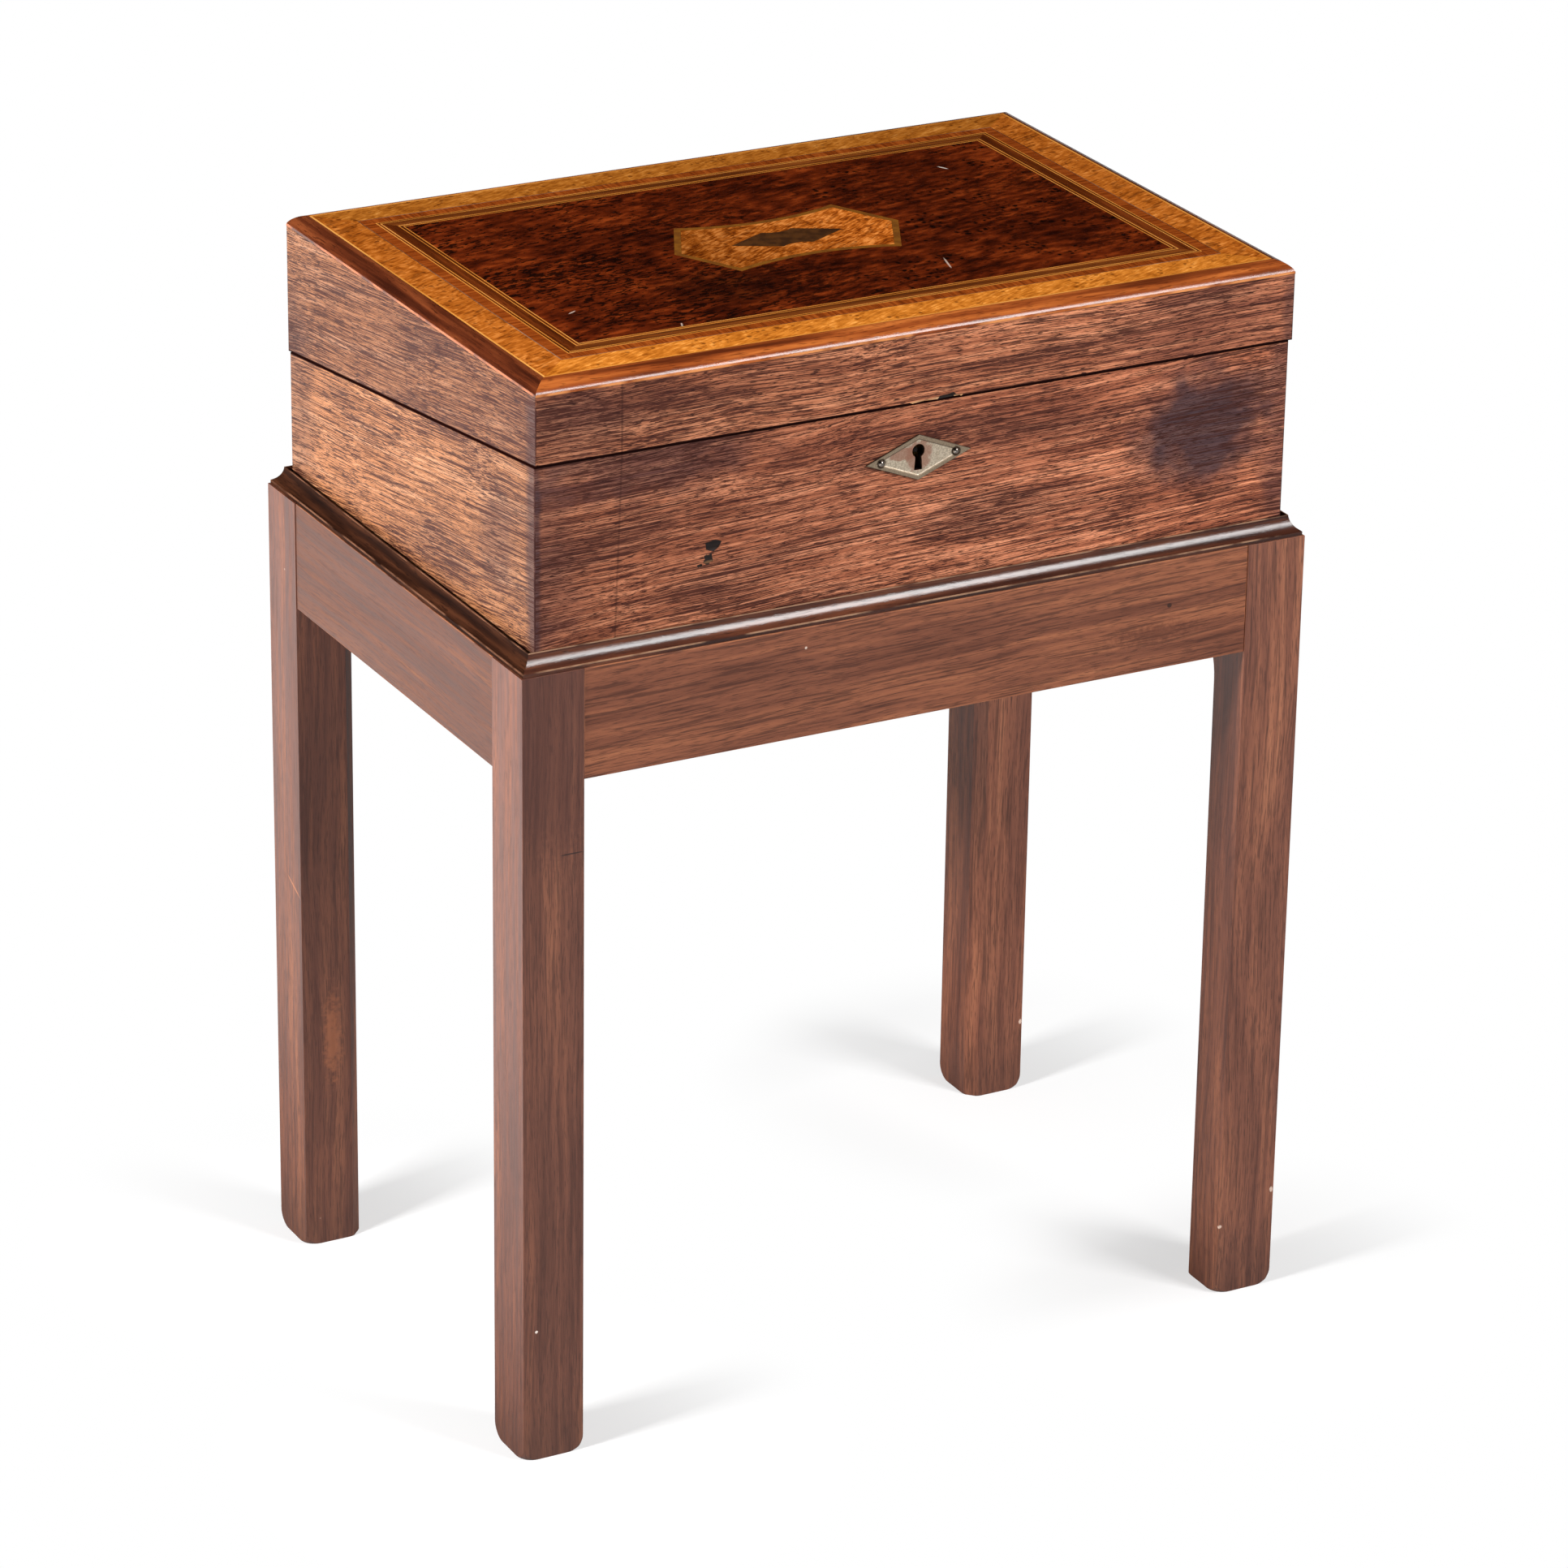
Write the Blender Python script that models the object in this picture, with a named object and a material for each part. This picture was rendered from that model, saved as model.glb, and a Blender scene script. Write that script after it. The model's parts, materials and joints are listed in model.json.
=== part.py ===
"""Lap desk on stand: a writing box, cut on a slant into base and lid, that sits loose in a moulded stand.

Metres, +Z up, the lock side faces -Y, and the origin is on the floor under the middle of the stand.
"""

import math

import bmesh
import bpy
from mathutils import Vector

# Desk: outside sizes, and the slanting cut that parts the lid from the base
DESK_WIDTH = 0.4290
DESK_DEPTH = 0.2895
DESK_HEIGHT = 0.1487
BASE_FRONT_HEIGHT = 0.1057
BASE_BACK_HEIGHT = 0.0732
WALL = 0.0090
BOTTOM_THICKNESS = 0.0070
LID_BOARD = 0.0080
LID_SIDE_OVERHANG = 0.0006
LID_FRONT_OVERHANG = 0.0025
LID_BACK_OVERHANG = 0.0010

# Stand
STAND_HEIGHT = 0.4340
LEG_SIDE = 0.0340
LEG_EASE = 0.0008
LEG_CHAMFER = 0.0060
CHAMFER_START = 0.0050
CHAMFER_RUNOUT = 0.0200
FOOT_ROUNDING = 0.0080
FOOT_CORNER = 0.0070
FOOT_EDGE = 0.0010
RAIL_HEIGHT = 0.0590
RAIL_THICKNESS = 0.0200
RAIL_SETBACK = 0.0004
TENON_LENGTH = 0.0170
TENON_SHOULDER = 0.0060
MOULDING_WIDTH = 0.0063
MOULDING_HEIGHT = 0.0101
MOULDING_SETBACK = 0.0010
MOULDING_EDGE = 0.0022
MOULDING_EASE = 0.0006
MOULDING_LIP = 0.0015
LIP_WIDTH = 0.0010
COVE_RADIUS = 0.0100

# Till at the lock side, for pens and ink
TILL_DEPTH = 0.0620
TILL_WALL = 0.0050
TILL_DROP = 0.0006
INK_WELL = 0.0540
PEN_ROOM = 0.0160
TRAY_THICKNESS = 0.0140
TRAY_SCOOP = 0.0090
TRAY_RIM = 0.0030
TRAY_LEDGE = 0.0040

# Writing flaps and their leathers
FLAP_THICKNESS = 0.0060
FLAP_DROP = 0.0012
LEDGE_WIDTH = 0.0080
LEDGE_HEIGHT = 0.0100
LEATHER = 0.0006
LEATHER_MARGIN = 0.0140

# Lid top: a rounded border round an inlaid field
BORDER_WIDTH = 0.0090
BORDER_HEIGHT = 0.0065
VENEER = 0.0012
STRINGING = 0.0010
BURR_BAND = 0.0176
CROSSBAND = 0.0070
INNER_STRINGING = 0.0113
CARTOUCHE_HALF_LENGTH = 0.0650
CARTOUCHE_CORNER = (0.0460, 0.0380)
CARTOUCHE_WAIST = 0.0294
CARTOUCHE_BORDER = 0.0036
PLAQUE_HALF_LENGTH = 0.0324
PLAQUE_CORNER = (0.0085, 0.0124)
PLAQUE_WAIST = 0.0096

# Lock and escutcheon
KEYHOLE_X = -0.0020
KEYHOLE_DROP = 0.0284
KEYHOLE_RADIUS = 0.0034
KEYHOLE_SLOT = 0.0034
KEYHOLE_HEIGHT = 0.0125
ESCUTCHEON_WIDTH = 0.0602
ESCUTCHEON_HEIGHT = 0.0241
ESCUTCHEON_THICKNESS = 0.0012
ESCUTCHEON_BEVEL = 0.0010
PIN_SPACING = 0.0426
PIN_HEAD = 0.0019
PIN_DOME = 0.0011
PIN_SHANK = 0.0007
PIN_BITE = 0.0016
LOCK_WIDTH = 0.0500
LOCK_HEIGHT = 0.0380
LOCK_DEPTH = 0.0066
LOCK_PLATE = 0.0012
DRILL_PIN_RADIUS = 0.0012
LINK_WIDTH = 0.0340
LINK_PLATE = 0.0016
HOOK_THICKNESS = 0.0019
HOOK_LEG = 0.0030
HOOK_FOOT = 0.0030
HOOK_FOOT_HEIGHT = 0.0022
HOOK_DROP = 0.0095
HOOK_SPACING = 0.0200
BOLT_FINGER = 0.0040
BOLT_BAR = 0.0014

# Hinges
HINGE_INSET = 0.0845
HINGE_LENGTH = 0.0450
LEAF_THICKNESS = 0.0014
LEAF_MARGIN = 0.0016
KNUCKLE_RADIUS = 0.0024
HINGE_PIN_RADIUS = 0.0010

# Clearances
SEAT_GAP = 0.0003
GLUE_GAP = 0.0002
INLAY_GAP = 0.0001
LID_GAP = 0.0008
SIDE_FIT = 0.0032
FRONT_FIT = 0.00045
FLAP_CLEARANCE = 0.0005
METAL_CLEARANCE = 0.0002
KNUCKLE_CLEARANCE = 0.0004
PIN_CLEARANCE = 0.0001
HOOK_CLEARANCE = 0.0012

# Facets of the round stretches
FOOT_STEPS = 4
RUNOUT_STEPS = 4
ARC_STEPS = 5
ROUND_SIDES = 16

# Places that follow from the sizes above
STAND_MARGIN = MOULDING_SETBACK + MOULDING_WIDTH
STAND_WIDTH = DESK_WIDTH + 2 * (SIDE_FIT + STAND_MARGIN)
STAND_DEPTH = DESK_DEPTH + 2 * (FRONT_FIT + STAND_MARGIN)
RAIL_Z = STAND_HEIGHT - RAIL_HEIGHT
BASE_Z = STAND_HEIGHT + SEAT_GAP
FLOOR_Z = BASE_Z + BOTTOM_THICKNESS + GLUE_GAP
TOP_Z = BASE_Z + DESK_HEIGHT
BORDER_Z = TOP_Z - BORDER_HEIGHT
BOARD_Z = TOP_Z - VENEER - INLAY_GAP - LID_BOARD
CUT_RISE = (BASE_FRONT_HEIGHT - BASE_BACK_HEIGHT) / DESK_DEPTH
CUT_ANGLE = math.atan(CUT_RISE)
STAND = (-STAND_WIDTH / 2, -STAND_DEPTH / 2, STAND_WIDTH / 2, STAND_DEPTH / 2)
BASE = (-DESK_WIDTH / 2, -DESK_DEPTH / 2, DESK_WIDTH / 2, DESK_DEPTH / 2)
LID = (
    BASE[0] - LID_SIDE_OVERHANG,
    BASE[1] - LID_FRONT_OVERHANG,
    BASE[2] + LID_SIDE_OVERHANG,
    BASE[3] + LID_BACK_OVERHANG,
)


def cut_z(y, above=0.0):
    """Height of the slanting cut at depth y, or a height above it."""
    return BASE_Z + BASE_FRONT_HEIGHT - (y - BASE[1]) * CUT_RISE + above


HINGE_X = DESK_WIDTH / 2 - HINGE_INSET
HINGE_Y = LID[3] + KNUCKLE_RADIUS + KNUCKLE_CLEARANCE
HINGE_Z = cut_z(HINGE_Y, LID_GAP / 2)
LEAF_REACH = KNUCKLE_RADIUS + KNUCKLE_CLEARANCE + WALL - LEAF_MARGIN
LEAF_FACE = LID_GAP / 2 * math.cos(CUT_ANGLE)
FRONT_INSIDE = BASE[1] + WALL
DIVIDER_Y = FRONT_INSIDE + TILL_DEPTH
FLAP_FRONT = DIVIDER_Y + TILL_WALL + FLAP_CLEARANCE
TRAY_Z = cut_z(DIVIDER_Y) - PEN_ROOM - TRAY_THICKNESS
KEYHOLE_Z = BASE_Z + BASE_FRONT_HEIGHT - KEYHOLE_DROP
LOCK_TOP = cut_z(FRONT_INSIDE) - GLUE_GAP
LOCK_FRONT = FRONT_INSIDE - LOCK_DEPTH
HOOK_FRONT = LOCK_FRONT + HOOK_CLEARANCE
HOOK_BACK = HOOK_FRONT + HOOK_THICKNESS
HOOK_X = (KEYHOLE_X - HOOK_SPACING * 0.7, KEYHOLE_X + HOOK_SPACING * 0.3)
LINK_Z = cut_z(HOOK_BACK, LID_GAP)
FOOT_TOP = LINK_Z - HOOK_DROP + HOOK_FOOT_HEIGHT
BOLT_BACK = FRONT_INSIDE - LOCK_PLATE - METAL_CLEARANCE

# Colour, roughness and metallic value of each finish
FINISHES = {
    "mahogany": ((0.150, 0.052, 0.028), 0.42, 0.0),
    "moulding": ((0.085, 0.028, 0.016), 0.28, 0.0),
    "rosewood": ((0.240, 0.085, 0.032), 0.45, 0.0),
    "border": ((0.130, 0.030, 0.010), 0.30, 0.0),
    "burr": ((0.470, 0.200, 0.040), 0.30, 0.0),
    "burl": ((0.075, 0.014, 0.005), 0.25, 0.0),
    "crossband": ((0.200, 0.055, 0.014), 0.30, 0.0),
    "boxwood": ((0.620, 0.330, 0.090), 0.35, 0.0),
    "carcase": ((0.330, 0.170, 0.075), 0.60, 0.0),
    "leather": ((0.100, 0.020, 0.018), 0.55, 0.0),
    "brass": ((0.480, 0.300, 0.090), 0.38, 1.0),
    "nickel": ((0.520, 0.430, 0.340), 0.40, 1.0),
    "steel": ((0.300, 0.280, 0.260), 0.45, 1.0),
    "bronze": ((0.100, 0.065, 0.025), 0.40, 1.0),
}


def clear_scene():
    for obj in list(bpy.data.objects):
        bpy.data.objects.remove(obj)


def world_place(obj):
    place = Vector()
    while obj:
        place += obj.location
        obj = obj.parent
    return place


def pivot(name, place, parent=None):
    empty = bpy.data.objects.new(name, None)
    bpy.context.scene.collection.objects.link(empty)
    empty.location = Vector(place) - world_place(parent)
    empty.parent = parent
    return empty


def material(name, finish):
    colour, roughness, metallic = FINISHES[finish]
    made = bpy.data.materials.new(name)
    made.use_nodes = True
    shader = made.node_tree.nodes["Principled BSDF"]
    shader.inputs["Base Color"].default_value = (*colour, 1.0)
    shader.inputs["Roughness"].default_value = roughness
    shader.inputs["Metallic"].default_value = metallic
    return made


def place_mesh(name, mesh, parent, at=None, turn=0.0):
    """An object for a mesh in world coordinates, or one drawn about the point at and turned about X."""
    data = bpy.data.meshes.new(name)
    bmesh.ops.recalc_face_normals(mesh, faces=mesh.faces)
    if at is None:
        corners = [vert.co for vert in mesh.verts]
        lows = Vector(map(min, zip(*corners)))
        highs = Vector(map(max, zip(*corners)))
        at = (lows + highs) / 2
        bmesh.ops.translate(mesh, verts=mesh.verts, vec=-at)
    mesh.to_mesh(data)
    mesh.free()
    obj = bpy.data.objects.new(name, data)
    bpy.context.scene.collection.objects.link(obj)
    obj.parent = parent
    obj.location = Vector(at) - world_place(parent)
    obj.rotation_euler.x = turn
    return obj


def piece(name, mesh, parent, finish, at=None, turn=0.0):
    obj = place_mesh(name, mesh, parent, at, turn)
    obj.data.materials.append(material(name, finish))
    return obj


def boolean(obj, name, mesh, operation="DIFFERENCE", at=None, turn=0.0):
    """Cuts a shape from an object, or joins one to it. The shape stays as a wire helper."""
    helper = place_mesh(name, mesh, obj.parent, at, turn)
    helper.hide_render = True
    helper.display_type = "WIRE"
    modifier = obj.modifiers.new(name, "BOOLEAN")
    modifier.operation = operation
    modifier.object = helper


def lofted(loops):
    """A closed solid through loops of equally many points, with flat ends."""
    mesh = bmesh.new()
    rows = [[mesh.verts.new(point) for point in loop] for loop in loops]
    count = len(rows[0])
    for low, high in zip(rows, rows[1:]):
        for i in range(count):
            j = (i + 1) % count
            mesh.faces.new((low[i], low[j], high[j], high[i]))
    mesh.faces.new(reversed(rows[0]))
    mesh.faces.new(rows[-1])
    return mesh


def height(value, y):
    return value(y) if callable(value) else value


def prism(plan, low, high):
    """A plan of (x, y) points between two heights, each a number or a function of y."""
    bottom = [(x, y, height(low, y)) for x, y in plan]
    top = [(x, y, height(high, y)) for x, y in plan]
    return lofted([bottom, top])


def along_x(outline, low, high):
    return lofted([[(x, y, z) for y, z in outline] for x in (low, high)])


def along_y(outline, low, high):
    """An outline of (x, z) points, z a number or a function of y, drawn from one depth to another."""
    return lofted([[(x, y, height(z, y)) for x, z in outline] for y in (low, high)])


def corners_of(rect):
    x0, y0, x1, y1 = rect
    return [(x0, y0), (x1, y0), (x1, y1), (x0, y1)]


def inside(rect, inset):
    x0, y0, x1, y1 = rect
    return (x0 + inset, y0 + inset, x1 - inset, y1 - inset)


def block(lows, highs):
    x0, y0, z0 = lows
    x1, y1, z1 = highs
    return prism(corners_of((x0, y0, x1, y1)), z0, z1)


def arc(centre, radius, start, end, steps):
    """Points on an arc, with its angles in degrees."""
    angles = [math.radians(start + (end - start) * i / steps) for i in range(steps + 1)]
    return [(centre[0] + radius * math.cos(a), centre[1] + radius * math.sin(a)) for a in angles]


def hollow(start, end, radius, steps):
    """Points on a shallow hollow between two points of a profile that rises inwards."""
    start, end = Vector(start), Vector(end)
    chord = end - start
    aside = Vector((-chord.y, chord.x)).normalized()
    centre = (start + end) / 2 + aside * math.sqrt(radius**2 - (chord.length / 2) ** 2)
    first, last = (math.degrees(math.atan2(*(point - centre).yx)) for point in (start, end))
    return arc(centre, radius, first, last, steps)


def side_ends(rect, side, inset):
    """The two ends of one side of a mitred frame, at an inset from its outer edge."""
    x0, y0, x1, y1 = inside(rect, inset)
    gap = GLUE_GAP / 2
    return {
        "front": ((x0 + gap, y0), (x1 - gap, y0)),
        "right": ((x1, y0 + gap), (x1, y1 - gap)),
        "back": ((x1 - gap, y1), (x0 + gap, y1)),
        "left": ((x0, y1 - gap), (x0, y0 + gap)),
    }[side]


def mitred_side(rect, side, profile):
    """One side of a mitred frame: a profile of (inset, height) points between its two mitres."""
    ends = []
    for end in (0, 1):
        plan = [(side_ends(rect, side, inset)[end], z) for inset, z in profile]
        ends.append([(x, y, height(z, y)) for (x, y), z in plan])
    return lofted(ends)


def ring(outer, inner, low, high):
    """A flat frame between two outlines of equally many (x, y) points."""
    mesh = bmesh.new()
    rows = []
    for outline, z in ((outer, low), (outer, high), (inner, high), (inner, low)):
        rows.append([mesh.verts.new((x, y, z)) for x, y in outline])
    count = len(outer)
    for first, second in zip(rows, rows[1:] + rows[:1]):
        for i in range(count):
            j = (i + 1) % count
            mesh.faces.new((first[i], first[j], second[j], second[i]))
    return mesh


def shrunk(outline, distance):
    """An anticlockwise outline moved inwards by an equal distance all round."""
    made = []
    for i, here in enumerate(outline):
        point = Vector(here)
        before = (point - Vector(outline[i - 1])).normalized()
        after = (Vector(outline[(i + 1) % len(outline)]) - point).normalized()
        normals = Vector((-before.y, before.x)), Vector((-after.y, after.x))
        step = (normals[0] + normals[1]) / (1 + normals[0].dot(normals[1]))
        made.append(tuple(point + step * distance))
    return made


def cartouche(half_length, corner, waist):
    """A six-cornered outline with pointed ends and long sides that curve in to the waist."""
    corner_x, corner_y = corner
    sag = corner_y - waist
    radius = (corner_x**2 + sag**2) / (2 * sag)
    spread = math.degrees(math.asin(corner_x / radius))
    centre_y = waist + radius
    upper = arc((0, centre_y), radius, 270 + spread, 270 - spread, 2 * ARC_STEPS)
    lower = [(-x, -y) for x, y in upper]
    return [(half_length, 0.0), *upper, (-half_length, 0.0), *lower]


def circle(centre, radius):
    return arc(centre, radius, 0, 360 - 360 / ROUND_SIDES, ROUND_SIDES - 1)


def leg_outline(inset, ease, chamfer):
    """A leg's cross-section, from its outer corner inwards, chamfered on the inner corner."""
    near = inset
    far = LEG_SIDE - inset
    eased = (near + ease, far - ease)
    return [
        (eased[0], near),
        (eased[1], near),
        (far, eased[0]),
        (far, far - chamfer),
        (far - chamfer, far),
        (eased[0], far),
        (near, eased[1]),
        (near, eased[0]),
    ]


def leg_levels():
    """Height, inset, corner and chamfer from the rounded foot to the top, with the chamfer's curved stop."""
    levels = []
    for step in range(FOOT_STEPS + 1):
        angle = math.pi / 2 * step / FOOT_STEPS
        left = 1 - math.sin(angle)
        ease = LEG_EASE + FOOT_CORNER * left
        rise = FOOT_ROUNDING * (1 - math.cos(angle))
        levels.append((rise, FOOT_EDGE * left, ease, max(LEG_CHAMFER, ease)))
    full = RAIL_Z - CHAMFER_START - CHAMFER_RUNOUT
    for step in range(RUNOUT_STEPS + 1):
        along = step / RUNOUT_STEPS
        chamfer = LEG_EASE + (LEG_CHAMFER - LEG_EASE) * (1 - along**2)
        levels.append((full + CHAMFER_RUNOUT * along, 0.0, LEG_EASE, chamfer))
    levels.append((STAND_HEIGHT, 0.0, LEG_EASE, LEG_EASE))
    return levels


def tenon_span():
    """Where a tenon lies, in from the leg's outer face and in height."""
    across = (RAIL_SETBACK + TENON_SHOULDER, RAIL_SETBACK + RAIL_THICKNESS - TENON_SHOULDER)
    heights = (RAIL_Z + TENON_SHOULDER, STAND_HEIGHT - TENON_SHOULDER)
    return across, heights


def add_leg(name, x_sign, y_sign, stand):
    corner_x = x_sign * STAND_WIDTH / 2
    corner_y = y_sign * STAND_DEPTH / 2

    def placed(u, v, z):
        return (corner_x - x_sign * u, corner_y - y_sign * v, z)

    loops = [[placed(u, v, z) for u, v in leg_outline(*section)] for z, *section in leg_levels()]
    leg = piece(name, lofted(loops), stand, "mahogany")
    across, heights = tenon_span()
    far = LEG_SIDE + METAL_CLEARANCE
    near = LEG_SIDE - TENON_LENGTH - METAL_CLEARANCE
    low = across[0] - METAL_CLEARANCE
    high = across[1] + METAL_CLEARANCE
    plans = {
        "long": [(near, low), (far, low), (far, high), (near, high)],
        "short": [(low, near), (high, near), (high, far), (low, far)],
    }
    for which, plan in plans.items():
        levels = (heights[0] - METAL_CLEARANCE, heights[1] + METAL_CLEARANCE)
        mortise = lofted([[placed(u, v, z) for u, v in plan] for z in levels])
        boolean(leg, f"{name}_{which}_mortise", mortise)


def add_rail(name, side, stand):
    """A rail with a tenon on each end, drawn along X or, on the short sides, along Y."""
    long_side = side in ("front", "back")
    sign = -1 if side in ("front", "left") else 1
    span = STAND_WIDTH if long_side else STAND_DEPTH
    outer = STAND_DEPTH / 2 if long_side else STAND_WIDTH / 2
    shoulder = span / 2 - LEG_SIDE - GLUE_GAP
    tip = span / 2 - LEG_SIDE + TENON_LENGTH
    across, heights = tenon_span()
    body = ((RAIL_SETBACK, RAIL_SETBACK + RAIL_THICKNESS), (RAIL_Z, STAND_HEIGHT))
    stations = [
        (-tip, (across, heights)),
        (-shoulder, (across, heights)),
        (-shoulder, body),
        (shoulder, body),
        (shoulder, (across, heights)),
        (tip, (across, heights)),
    ]
    loops = []
    for along, ((near, far), (low, high)) in stations:
        section = [(near, low), (far, low), (far, high), (near, high)]
        points = [(along, sign * (outer - inset), z) for inset, z in section]
        loops.append(points if long_side else [(y, x, z) for x, y, z in points])
    piece(name, lofted(loops), stand, "mahogany")


def moulding_profile():
    """From the lower outer edge: a flat eased edge, a shallow hollow, a lip and a flat top."""
    low = STAND_HEIGHT + GLUE_GAP
    lip = MOULDING_WIDTH - LIP_WIDTH
    cove = hollow((MOULDING_EASE, MOULDING_EDGE), (lip, MOULDING_HEIGHT - MOULDING_LIP), COVE_RADIUS, ARC_STEPS)
    top = [(lip, MOULDING_HEIGHT), (MOULDING_WIDTH, MOULDING_HEIGHT)]
    outline = [(0.0, 0.0), (0.0, MOULDING_EDGE - MOULDING_EASE), *cove, *top, (MOULDING_WIDTH, 0.0)]
    return [(inset, low + z) for inset, z in outline]


def build_stand():
    stand = pivot("stand", (0, 0, 0))
    for y_name, y_sign in (("front", -1), ("back", 1)):
        for x_name, x_sign in (("left", -1), ("right", 1)):
            add_leg(f"leg_{y_name}_{x_name}", x_sign, y_sign, stand)
    for side in ("front", "back", "left", "right"):
        add_rail(f"rail_{side}", side, stand)
        strip = mitred_side(inside(STAND, MOULDING_SETBACK), side, moulding_profile())
        piece(f"moulding_{side}", strip, stand, "moulding")
    return stand


def wall_profile(low, high):
    return [(0.0, low), (WALL, low), (WALL, high), (0.0, high)]


def build_base(desk):
    walls = {}
    for side in ("front", "back", "left", "right"):
        mesh = mitred_side(BASE, side, wall_profile(FLOOR_Z, cut_z))
        walls[side] = piece(f"base_{side}", mesh, desk, "rosewood")
    bottom = prism(corners_of(BASE), BASE_Z, BASE_Z + BOTTOM_THICKNESS)
    piece("base_bottom", bottom, desk, "carcase")
    return walls


def below_cut(drop):
    return lambda y: cut_z(y, -drop)


def above_cut(rise):
    return lambda y: cut_z(y, LID_GAP + rise)


def build_till(desk):
    left = BASE[0] + WALL + GLUE_GAP
    right = BASE[2] - WALL - GLUE_GAP
    front = FRONT_INSIDE + GLUE_GAP
    back = DIVIDER_Y - GLUE_GAP
    top = below_cut(TILL_DROP)
    plan = corners_of((left, DIVIDER_Y, right, DIVIDER_Y + TILL_WALL))
    piece("till_divider", prism(plan, FLOOR_Z, top), desk, "carcase")
    for name, wall, sign in (("left", BASE[0] + WALL, 1), ("right", BASE[2] - WALL, -1)):
        near = wall + sign * INK_WELL
        far = near + sign * TILL_WALL
        ledge = far + sign * TRAY_LEDGE
        outline = [(near, FLOOR_Z), (ledge, FLOOR_Z), (ledge, TRAY_Z), (far, TRAY_Z), (far, top), (near, top)]
        piece(f"till_partition_{name}", along_y(outline, front, back), desk, "carcase")
    low = TRAY_Z + GLUE_GAP
    rim = low + TRAY_THICKNESS
    chord = (back - front) / 2 - TRAY_RIM
    radius = (chord**2 + TRAY_SCOOP**2) / (2 * TRAY_SCOOP)
    spread = math.degrees(math.asin(chord / radius))
    middle = ((front + back) / 2, rim + radius - TRAY_SCOOP)
    scoop = arc(middle, radius, 270 + spread, 270 - spread, 2 * ARC_STEPS)
    section = [(front, low), (back, low), (back, rim), *scoop, (front, rim)]
    reach = DESK_WIDTH / 2 - WALL - INK_WELL - TILL_WALL - GLUE_GAP
    piece("pen_tray", along_x(section, -reach, reach), desk, "carcase")


def build_base_flap(desk):
    back = BASE[3] - WALL
    flap = (BASE[0] + WALL + FLAP_CLEARANCE, FLAP_FRONT, BASE[2] - WALL - FLAP_CLEARANCE, back - FLAP_CLEARANCE)
    under = FLAP_DROP + FLAP_THICKNESS
    ledge_top = below_cut(under + GLUE_GAP)
    ledge_low = below_cut(under + GLUE_GAP + LEDGE_HEIGHT)
    for name, wall, sign in (("left", BASE[0] + WALL, 1), ("right", BASE[2] - WALL, -1)):
        near = wall + sign * GLUE_GAP
        far = near + sign * LEDGE_WIDTH
        outline = [(near, ledge_low), (far, ledge_low), (far, ledge_top), (near, ledge_top)]
        piece(f"base_ledge_{name}", along_y(outline, FLAP_FRONT, back - GLUE_GAP), desk, "carcase")
    board = prism(corners_of(flap), below_cut(under), below_cut(FLAP_DROP))
    piece("base_flap", board, desk, "carcase")
    low = FLAP_DROP - INLAY_GAP
    leather = prism(corners_of(inside(flap, LEATHER_MARGIN)), below_cut(low), below_cut(low - LEATHER))
    piece("base_leather", leather, desk, "leather")


def build_lid(lid):
    walls = {}
    for side in ("front", "back", "left", "right"):
        mesh = mitred_side(LID, side, wall_profile(above_cut(0.0), BORDER_Z - GLUE_GAP))
        walls[side] = piece(f"lid_{side}", mesh, lid, "rosewood")
    board = prism(corners_of(inside(LID, WALL + GLUE_GAP)), BOARD_Z, BOARD_Z + LID_BOARD)
    piece("lid_board", board, lid, "carcase")
    return walls


def build_lid_flap(lid):
    flap = inside(LID, WALL + FLAP_CLEARANCE)
    over = FLAP_DROP + FLAP_THICKNESS
    low = above_cut(over + GLUE_GAP)
    high = above_cut(over + GLUE_GAP + LEDGE_HEIGHT)
    front = LID[1] + WALL + GLUE_GAP
    back = LID[3] - WALL - GLUE_GAP
    for name, wall, sign in (("left", LID[0] + WALL, 1), ("right", LID[2] - WALL, -1)):
        near = wall + sign * GLUE_GAP
        far = near + sign * LEDGE_WIDTH
        outline = [(near, low), (far, low), (far, high), (near, high)]
        piece(f"lid_ledge_{name}", along_y(outline, front, back), lid, "carcase")
    board = prism(corners_of(flap), above_cut(FLAP_DROP), above_cut(over))
    piece("lid_flap", board, lid, "carcase")
    face = FLAP_DROP - INLAY_GAP
    leather = prism(corners_of(inside(flap, LEATHER_MARGIN)), above_cut(face - LEATHER), above_cut(face))
    piece("lid_leather", leather, lid, "leather")


def border_profile():
    """A soft bevel: steep at the lid's edge and level where it meets the inlay."""
    curve = []
    for step in range(ARC_STEPS + 1):
        along = step / ARC_STEPS
        curve.append((BORDER_WIDTH * along, BORDER_Z + BORDER_HEIGHT * (1 - (1 - along) ** 2)))
    return [*curve, (BORDER_WIDTH, BORDER_Z)]


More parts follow.
